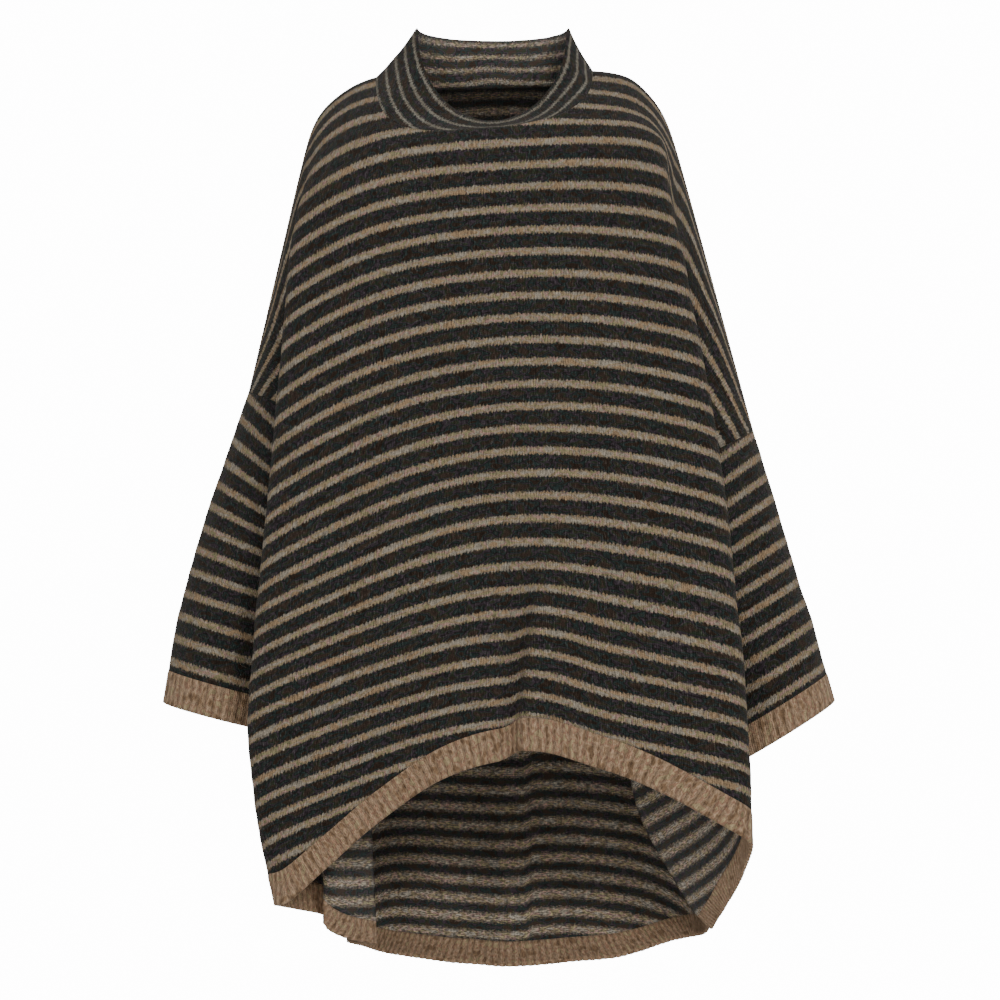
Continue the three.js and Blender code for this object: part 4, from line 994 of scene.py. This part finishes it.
def settle(backward, station, course, point, normal, atNeck):
    # Near each seam the wall turns square to the frame that the two pieces share
    width = seamSettle["backWidth" if backward else "frontWidth"]
    armhole = cloth["armholeDepth"]
    for side, distance in ((rightSide, station), (leftSide, lastStation - station)):
        near = np.clip(1 - distance / width, 0, 1)
        mask = near > 0
        if not mask.any():
            continue
        s, c = near[mask][:, None], course[mask]
        onArm = armholeNormal(side, np.clip(c / armhole, 0, 1), backward)
        onSeam = sideSeamNormal(side, np.maximum(c, armhole + 1))
        target = np.where((c <= armhole)[:, None], onArm, onSeam)
        under = np.clip(1 - np.abs(c - armhole) / seamSettle["underarm"], 0, 1)[:, None]
        target = unit(target * (1 - under) + np.array([0, 0, -1.0]) * under)
        normal[mask] = unit(normal[mask] * (1 - s) + target * s)
        point[mask, 2] -= seamSettle["underarmDrop"] * (under * s)[:, 0]
    beside = (station <= neckRight) | (station >= neckLeft)
    normal[..., 1] *= 1 - np.clip(1 - course / seamSettle["shoulder"], 0, 1) * beside
    normal[:] = unit(normal)
    if atNeck:
        inNeck = (station[0] >= neckRight) & (station[0] <= neckLeft)
        base, frames = neckFrame(backward, station[0][inNeck])
        for r in range(seamSettle["neckRows"]):
            s = 1 - r / seamSettle["neckRows"]
            normal[r, inNeck] = unit(normal[r, inNeck] * (1 - s) + frames * s)


# How much the stripes ride up from their even spacing, down the cloth and across it

rideUp = table(
    "course right middle left",
    (108, 8, 2, 6), (243, 8, 6.5, 5), (424, 3.5, 8.5, 9), (491, 2, 8.5, 8), (560, 0.5, 5, 0),
    (620, -1, 3.5, -4), (690, -2, 6, -4), (760, 0, 7, -1),
)
rideUpBack = table(
    "course right middle left",
    (300, 0, 0, 0), (600, 22, 0, 10), (800, 46, 12, 30), (1010, 68, 32, 50),
)
rideReach = {"right": 190, "left": 170}
overArm = {"from": 265, "slope": 0.95, "ease": 60, "top": 85, "bottom": 205}  # stripes turn across the arm
backStep = {  # stripes jump at the back's crease
    "at": 30, "wide": 4, "rise": 5, "fade": 110, "from": 560, "full": 700,
}


def stripeRide(backward, u, course):
    ride = rideUpBack if backward else rideUp
    right, middle, left = (smoothColumn(ride, "course", n, course) for n in ("right", "middle", "left"))
    toRight, toLeft = ramp(0, rideReach["right"], -u), ramp(0, rideReach["left"], u)
    spread = middle + (right - middle) * toRight + (left - middle) * toLeft
    if backward:
        past = u - backStep["at"]
        rise = backStep["rise"] * ramp(-backStep["wide"], backStep["wide"], past)
        low = ramp(backStep["from"], backStep["full"], course)
        return spread + rise * (1 - ramp(0, backStep["fade"], past)) * low
    near = 1 - ramp(overArm["top"], overArm["bottom"], course)
    past = np.maximum(0, np.abs(u) - overArm["from"])
    return spread + overArm["slope"] * past ** 2 / (past + overArm["ease"]) * near


def makePanel(name, backward):
    stations = stationSets[backward][0]
    top = neckCourse(backward, stations)
    bottom = hemCourse(backward, stations) - cloth["bandHeight"]
    a, b = mesh["rowsBesideArm"], mesh["rowsBelowArm"]
    upper = np.linspace(0, 1, a + 1)[:, None]
    lower = np.linspace(0, 1, b + 1)[1:, None]
    armhole = cloth["armholeDepth"]
    course = np.concatenate([top + (armhole - top) * upper, armhole + (bottom - armhole) * lower])
    station = np.broadcast_to(stations, course.shape).copy()
    point = surfaces[backward](station, course)
    normal = gridNormals(point, False) * (1 if backward else -1)
    settle(backward, station, course, point, normal, True)
    u = flatAcross(backward, station)
    span = ramp(0, panelEdges["neck"], course - top) * ramp(0, panelEdges["hem"], bottom - course)
    sides = panelEdges["sides"]
    edge = span * ramp(0, sides, station) * ramp(0, sides, lastStation - station)
    point += normal * lumps(u + 900, course, 40 + backward, edge)[..., None]
    outer, inner = plainWalls(point, normal)
    uv = np.stack([u, course + stripeRide(backward, u, course)], axis=-1)
    piece = wallObject(name, outer, inner, uv, False, [bodyFace, bodyInside])
    return piece, (outer, normal, uv)


# The hem bands, with ribs square to the edge of each panel

def ribHeight(phase, share):
    height = rib["level"] + rib["swing"] * np.cos(2 * np.pi * phase / rib["pitch"])
    return height * (rib["foot"] + rib["rest"] * ramp(0, rib["footEnd"], share))


def ribWalls(point, normal, height):
    half = cloth["thickness"] / 2
    return (point + normal * (half + rib["outside"] * height)[..., None],
            point - normal * (half + rib["inside"] * (1 - height))[..., None])


def bandMiddle(backward, station):
    return hemCourse(backward, station) - cloth["bandHeight"] / 2


def bandPhase(backward, station, course):
    stations, fine, length = stationSets[backward]
    hem = bandMiddle(backward, fine)
    slope = np.clip(np.gradient(hem, length + np.arange(len(length)) * 1e-6), -1.2, 1.2)
    grown = np.concatenate([[0], np.cumsum(np.hypot(1, (slope[1:] + slope[:-1]) / 2) * np.diff(length))])
    k = np.interp(station, fine, slope)
    below = course - np.interp(station, fine, hem)
    atEnds = ramp(0, 0.5, station) * ramp(0, 0.5, lastStation - station)
    return np.interp(station, fine, grown) + atEnds * k * below / np.hypot(1, k), grown[-1]


def makeBand(name, backward):
    surface = surfaces[backward]
    fine = stationSets[backward][1]
    points = surface(fine, bandMiddle(backward, fine))
    arc = np.concatenate([[0], np.cumsum(np.linalg.norm(np.diff(points, axis=0), axis=1))])
    count = int(round(arc[-1] / rib["pitch"])) * mesh["ribColumns"]
    at = np.interp(np.linspace(0, arc[-1], count + 1), arc, fine)
    share = np.linspace(0, 1, mesh["bandRows"] + 1)[:, None]
    course = hemCourse(backward, at) - cloth["bandHeight"] * (1 - share)
    station = np.broadcast_to(at, course.shape).copy()
    point = surface(station, course)
    normal = gridNormals(point, False) * (1 if backward else -1)
    settle(backward, station, course, point, normal, False)
    phase, whole = bandPhase(backward, station, course)
    phase = phase * (rib["pitch"] * round(whole / rib["pitch"]) / whole)
    u = flatAcross(backward, station)
    low = share * cloth["bandHeight"]
    edge = ramp(0, bandEdge["top"], low) * bandEdge["lumps"]
    point += normal * lumps(u + 900, course, 44 + backward, edge)[..., None]
    outer, inner = ribWalls(point, normal, ribHeight(phase, share))
    uv = np.stack([phase, np.broadcast_to(low, phase.shape)], axis=-1)
    piece = wallObject(name, outer, inner, uv, False, [ribFace, ribInside], roundBottom=rib["roundEdge"])
    return piece, (outer, normal, uv)


# The sleeves and cuffs: one tapering tube a side

def sleeveDent(along, angle):
    dent = np.zeros(np.broadcast(along, angle).shape)
    for a, twist, top, bottom, width, share in zip(*sleeveDents.values()):
        past = angle - a - twist * along
        turn = np.arctan2(np.sin(past), np.cos(past))
        grow = ramp(top - 0.12, top + 0.12, along) * (1 - ramp(bottom - 0.15, bottom + 0.1, along))
        dent += share * grow * np.exp(-((turn / width) ** 2))
    return dent * ramp(0, 0.15, along) * (1 - ramp(0.8, 0.97, along))


def sleevePoint(side, along, angle):
    read = lambda name: smoothColumn(side["sleeve"], "along", name, along)
    middleX, middleZ = (read("outer") + read("inner")) / 2, (read("outerZ") + read("innerZ")) / 2
    c, s = np.cos(angle), np.sin(angle)
    point = vec(side["sign"] * (middleX + (read("outer") - read("inner")) / 2 * c),
                read("y") - read("depth") * s, middleZ + (read("outerZ") - read("innerZ")) / 2 * c)
    centre = vec(side["sign"] * middleX, read("y"), middleZ)
    dent = sleeveDent(along, angle)[..., None]
    return point * (1 - dent) + centre * dent


def sleeveNormals(side, along, angle):
    down = np.cross(sleevePoint(side, along, 0 * angle) - sleevePoint(side, along, 0 * angle + np.pi),
                    np.array([0.0, side["sign"], 0.0]))
    down = unit(down) * np.where(down[..., 2:] > 0, -1, 1)
    tangent = sleevePoint(side, along, angle + 0.01) - sleevePoint(side, along, angle - 0.01)
    return unit(np.cross(tangent, down)) * (-1 if side["sign"] < 0 else 1)


def lineLength(points):
    return np.concatenate([[0], np.cumsum(np.linalg.norm(np.diff(points, axis=0), axis=1))])


sleeveSlant = {-1: 50.0, 1: 16.0}  # how much lower a stripe starts under the arm than over it, by side
slantGone = 0.75
tubeEdges = {"top": 0.08, "bottom": 0.06}


def downSleeve(side, along):
    fine = np.linspace(0, 1, 201)
    drop = sleevePoint(side, fine, np.full(201, np.pi / 2))
    return np.interp(along, fine, lineLength(drop))


def slantedStripes(side, share, columns):
    # The sleeve's stripes slant at the armhole and come level toward the cuff
    turned = 2 * np.pi * np.arange(columns + 1) / columns
    return sleeveSlant[side["sign"]] * (1 - ramp(0, slantGone, share)) * (0.5 - 0.5 * np.cos(turned))[None, :]


def tubeGrid(side, start, end, rows, columns):
    share = np.linspace(0, 1, rows + 1)[:, None]
    along = start + (end - start) * share + np.zeros((1, columns))
    angle = -side["sign"] * 2 * np.pi * np.arange(columns)[None, :] / columns + np.zeros((rows + 1, 1))
    point = sleevePoint(side, along, angle)
    return share, along, point, sleeveNormals(side, along, angle)


def makeSleeve(name, side, seed):
    columns = mesh["sleeveColumns"]
    share, along, point, normal = tubeGrid(side, 0, cuffStart, mesh["sleeveRows"], columns)
    ring = sleevePoint(side, np.full(columns + 1, cuffStart / 2),
                       -side["sign"] * 2 * np.pi * np.arange(columns + 1) / columns)
    u = lineLength(ring)
    v = downSleeve(side, along[:, 0])[:, None]
    edge = ramp(0, tubeEdges["top"], share) * ramp(0, tubeEdges["bottom"], 1 - share)
    wave = np.abs(u[:-1] - u[-1] / 2)[None, :] + np.zeros_like(along)
    point = point + normal * lumps(wave + 300, v + np.zeros_like(along), seed, edge)[..., None]
    outer, inner = plainWalls(point, normal)
    uv = np.stack(np.broadcast_arrays(u[None, :], v - slantedStripes(side, share, columns)), axis=-1)
    piece = wallObject(name, outer, inner, uv, True, [sleeveFace, sleeveInside])
    return piece, (outer, normal, uv)


def makeCuff(name, side):
    columns = mesh["cuffRibs"] * mesh["ribColumns"]
    share, along, point, normal = tubeGrid(side, cuffStart, 1, mesh["cuffRows"], columns)
    u = rib["pitch"] * np.arange(columns + 1) / mesh["ribColumns"]
    v = downSleeve(side, along[:, 0])
    outer, inner = ribWalls(point, normal, ribHeight(u[None, :-1], share))
    uv = np.stack(np.broadcast_arrays(u[None, :], (v - v[0])[:, None]), axis=-1)
    piece = wallObject(name, outer, inner, uv, True, [ribFace, ribInside], roundBottom=rib["roundEdge"])
    return piece, (outer, normal, uv)


# The funnel collar

collarKnit = {"settledRows": 5, "spread": 1.12, "gather": 0.45, "wave": 1.6, "waveLength": 17.0,
              "lumps": 0.8, "lumpsFrom": 0.15, "roundEdge": 0.9}


def makeCollar(name):
    ahead = stationSets[False][0]
    ahead = ahead[(ahead >= neckRight) & (ahead <= neckLeft)]
    behind = stationSets[True][0]
    behind = behind[(behind > neckRight) & (behind < neckLeft)][::-1]
    frontParts, backParts = neckFrame(False, ahead), neckFrame(True, behind)
    base, frameNormal = (np.concatenate(parts) for parts in zip(frontParts, backParts))
    rows = mesh["collarRows"]
    share = np.linspace(1, 0, rows + 1)[:, None, None]
    top = rimPoint(base)
    point = base * (1 - share) + top * share + frameNormal * rim["swell"] * np.sin(np.pi * share)
    normal = gridNormals(point, True)
    if (normal[0] * (top - top.mean(0))).sum() < 0:
        normal = -normal
    for r in range(collarKnit["settledRows"]):
        s = 1 - r / collarKnit["settledRows"]
        normal[rows - r] = unit(normal[rows - r] * (1 - s) + frameNormal * s)
    ring = np.concatenate([top, top[:1]])
    u = lineLength(ring) * collarKnit["spread"]
    height = np.linalg.norm(top - base, axis=1)
    height = np.concatenate([height, height[:1]])
    atFront = ramp(0.2, 1, -np.sin(np.arctan2(ring[:, 1], ring[:, 0] - rim["middleX"])))
    up = share[:, :, 0]
    v = (1 - up) * (height * (1 - collarKnit["gather"] * atFront))[None, :]
    wave = collarKnit["wave"] * np.sin(u / collarKnit["waveLength"])[None, :]
    v = v + wave * (1 - ramp(0.5, 0.95, up))
    across = np.abs(u[:-1] - u[-1] / 2)[None, :] + np.zeros((rows + 1, 1))
    rise = lumps(across + 100, v[:, :-1], 71, ramp(0, collarKnit["lumpsFrom"], up)) * collarKnit["lumps"]
    outer, inner = plainWalls(point + normal * rise[..., None], normal)
    uv = np.stack(np.broadcast_arrays(u[None, :], v), axis=-1)
    piece = wallObject(name, outer, inner, uv, True, [collarFace, collarInside],
                       roundTop=collarKnit["roundEdge"])
    return piece, (outer, normal, uv)


cuffStart = 1 - cloth["cuffShare"]
frontPiece, frontSkin = makePanel("frontCloth", False)
backPiece, backSkin = makePanel("backCloth", True)
frontBand, frontBandSkin = makeBand("frontHemBand", False)
backBand, backBandSkin = makeBand("backHemBand", True)
leftSleeve, leftSleeveSkin = makeSleeve("leftSleeve", leftSide, 51)
rightSleeve, rightSleeveSkin = makeSleeve("rightSleeve", rightSide, 53)
leftCuff, leftCuffSkin = makeCuff("leftCuff", leftSide)
rightCuff, rightCuffSkin = makeCuff("rightCuff", rightSide)
collarPiece, collarSkin = makeCollar("funnelCollar")
print("cloth made")


# Loose fibres that stand off the brushed knit: strands of four rings with three corners each

fuzz = {"thick": 0.07, "taper": 0.75, "rise": 0.55, "bend": 0.45, "rooted": 0.4,
        "body": 5200, "collar": 5200, "band": 14000}
strandQuads = [[3 * k + j, 3 * k + (j + 1) % 3, 3 * k + 3 + (j + 1) % 3, 3 * k + 3 + j]
               for k in range(3) for j in range(3)]
strandEnds = [[2, 1, 0], [9, 10, 11]]


def fibrePoints(random, skin, density, lengths):
    outer, normal, uv = skin
    across = np.linalg.norm(outer[:-1, 1:] - outer[:-1, :-1], axis=-1)
    down = np.linalg.norm(outer[1:, :-1] - outer[:-1, :-1], axis=-1)
    area = (across * down).ravel()
    count = int(area.sum() * 1e-6 * density)
    pick = random.choice(len(area), count, p=area / area.sum())
    r, c = np.divmod(pick, across.shape[1])
    root = outer[r, c] + (outer[r + 1, c + 1] - outer[r, c]) * random.random((count, 1))
    aside = unit(random.normal(size=(count, 3)))
    out = normal[r, c]
    aside = unit(aside - out * (aside * out).sum(-1)[:, None])
    length = random.uniform(*lengths, (count, 1)) * (0.5 + random.random((count, 1)))
    lean = unit(out * fuzz["rise"] + aside)
    bend = unit(random.normal(size=(count, 3))) * fuzz["bend"]
    side = unit(np.cross(lean, out + 0.1))
    other = unit(np.cross(lean, side))
    corners = []
    for k in range(4):
        t = k / 3
        centre = root - out * fuzz["rooted"] + lean * length * t + bend * length * t * t
        width = fuzz["thick"] * (1.0 - fuzz["taper"] * t)
        for j in range(3):
            turn = 2 * math.pi * j / 3
            corners.append(centre + (side * math.cos(turn) + other * math.sin(turn)) * width)
    return np.stack(corners, axis=1).reshape(-1, 3), np.repeat(uv[r, c], 12, axis=0)


def makeFuzz(name, skins, material, density, lengths, seed):
    random = np.random.default_rng(seed)
    points, owners, faces = [], [], []
    total = 0
    for skin in skins:
        strands, owner = fibrePoints(random, skin, density, lengths)
        points.append(strands)
        owners.append(owner)
        start = total + np.arange(0, len(strands), 12)[:, None]
        for corners in strandQuads + strandEnds:
            faces.extend((start + np.array(corners)).tolist())
        total += len(strands)
    data = bpy.data.meshes.new(name)
    data.from_pydata((np.concatenate(points) * mm).tolist(), [], faces)
    corner = np.empty(len(data.loops), np.int32)
    data.loops.foreach_get("vertex_index", corner)
    setUvs(data, np.concatenate(owners)[corner])
    data.materials.append(material)
    data.update()
    print(name, "strands", total // 12)
    return linked(name, data)


bodyFuzz = makeFuzz("bodyFibres", [frontSkin, backSkin], bodyFace, fuzz["body"], (2.5, 6.5), 81)
sleeveFuzz = makeFuzz("sleeveFibres", [leftSleeveSkin, rightSleeveSkin], sleeveFace, fuzz["body"],
                      (2.5, 6.5), 82)
collarFuzz = makeFuzz("collarFibres", [collarSkin], collarFace, fuzz["collar"], (2.0, 4.5), 83)
bandFuzz = makeFuzz("bandFibres", [frontBandSkin, backBandSkin, leftCuffSkin, rightCuffSkin], ribFace,
                    fuzz["band"], (2.0, 6.0), 84)


# Who stands for what in the frame

flatSizes = {
    "frontCloth": (frontPiece, "front", (0.99, 0.79), 0.53, "stripe_knit"),
    "backCloth": (backPiece, "back", (0.99, 0.96), 0.544, "stripe_knit"),
    "leftSleeve": (leftSleeve, "sleeve_left", (0.37, 0.30), 0.097, "stripe_knit"),
    "rightSleeve": (rightSleeve, "sleeve_right", (0.37, 0.30), 0.105, "stripe_knit"),
    "funnelCollar": (collarPiece, "collar", (0.63, 0.072), 0.0306, "stripe_knit"),
    "frontHemBand": (frontBand, "hem_band_front", (0.95, 0.033), 0.0284, "camel_rib"),
    "backHemBand": (backBand, "hem_band_back", (0.49, 0.035), 0.017, "camel_rib"),
    "leftCuff": (leftCuff, "cuff_left", (0.34, 0.033), 0.011, "camel_rib"),
    "rightCuff": (rightCuff, "cuff_right", (0.34, 0.033), 0.0112, "camel_rib"),
}
for label, (piece, node, flat, area, slotName) in flatSizes.items():
    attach(piece, "root")
    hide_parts(node)
for piece, slotName in ((bodyFuzz, "stripe_knit"), (sleeveFuzz, "stripe_knit"),
                        (collarFuzz, "stripe_knit"), (bandFuzz, "camel_rib")):
    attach(piece, "root")
print("pieces ride on the frame")


# Floor, light and camera

studio = {"floorZ": -1.05, "floorReach": 30, "world": 0.55, "white": 14.0}
lamps = {  # place, width in metres and watts
    "key": ((1.3, -3.6, 1.4), 0.9, 62.0),
    "fill": ((-1.9, -3.3, 0.4), 2.4, 12.0),
    "top": ((0.0, -0.6, 2.8), 2.4, 16.0),
}
shot = {"place": (0.0, -4.0, -0.42), "lens": 144.0, "sensor": 36.0}  # 1 mm at the middle is 1 pixel


def makeFloor():
    # A plain pale floor that the camera sees as white, the same as the room behind it
    data = bpy.data.meshes.new("floor")
    z, reach = studio["floorZ"], studio["floorReach"]
    corners = [(-reach, -reach, z), (reach, -reach, z), (reach, reach, z), (-reach, reach, z)]
    data.from_pydata(corners, [], [(0, 1, 2, 3)])
    material = bpy.data.materials.new("paleFloor")
    material.use_nodes = True
    tree = material.node_tree
    shader = tree.nodes["Principled BSDF"]
    shader.inputs["Base Color"].default_value = (0.85, 0.85, 0.85, 1)
    shader.inputs["Roughness"].default_value = 1.0
    shader.inputs["Specular IOR Level"].default_value = 0.0
    shader.inputs["Emission Color"].default_value = (1.0, 1.0, 1.0, 1)
    seen = addNode(tree, "ShaderNodeLightPath").outputs["Is Camera Ray"]
    join(tree, mathNode(tree, "MULTIPLY", seen, studio["white"]), shader.inputs["Emission Strength"])
    data.materials.append(material)
    linked("floor", data)


def aim(thing, target):
    direction = np.array(target) - np.array(thing.location)
    thing.rotation_euler = Vector(direction).to_track_quat("-Z", "Y").to_euler()


def addLight(name, place, size, energy, target=(0, 0, -0.4)):
    data = bpy.data.lights.new(name, "AREA")
    data.shape = "DISK"
    data.size = size
    data.energy = energy
    light = linked(name, data)
    light.location = place
    aim(light, target)


def lightWorld():
    world = bpy.context.scene.world or bpy.data.worlds.new("studio")
    bpy.context.scene.world = world
    world.use_nodes = True
    tree = world.node_tree
    background = tree.nodes["Background"]
    background.inputs[0].default_value = (1.0, 1.0, 1.0, 1)
    seen = addNode(tree, "ShaderNodeLightPath").outputs["Is Camera Ray"]
    brightness = mathNode(tree, "MULTIPLY_ADD", seen, studio["white"], studio["world"])
    join(tree, brightness, background.inputs[1])


def placeCamera():
    data = bpy.data.cameras.new("camera")
    data.sensor_width = shot["sensor"]
    data.lens = shot["lens"]
    camera = linked("camera", data)
    camera.location = shot["place"]
    camera.rotation_euler = (math.pi / 2, 0.0, 0.0)
    bpy.context.scene.camera = camera


makeFloor()
for name, (place, size, energy) in lamps.items():
    addLight(name, place, size, energy)
lightWorld()
placeCamera()
print("stage, light and camera set")
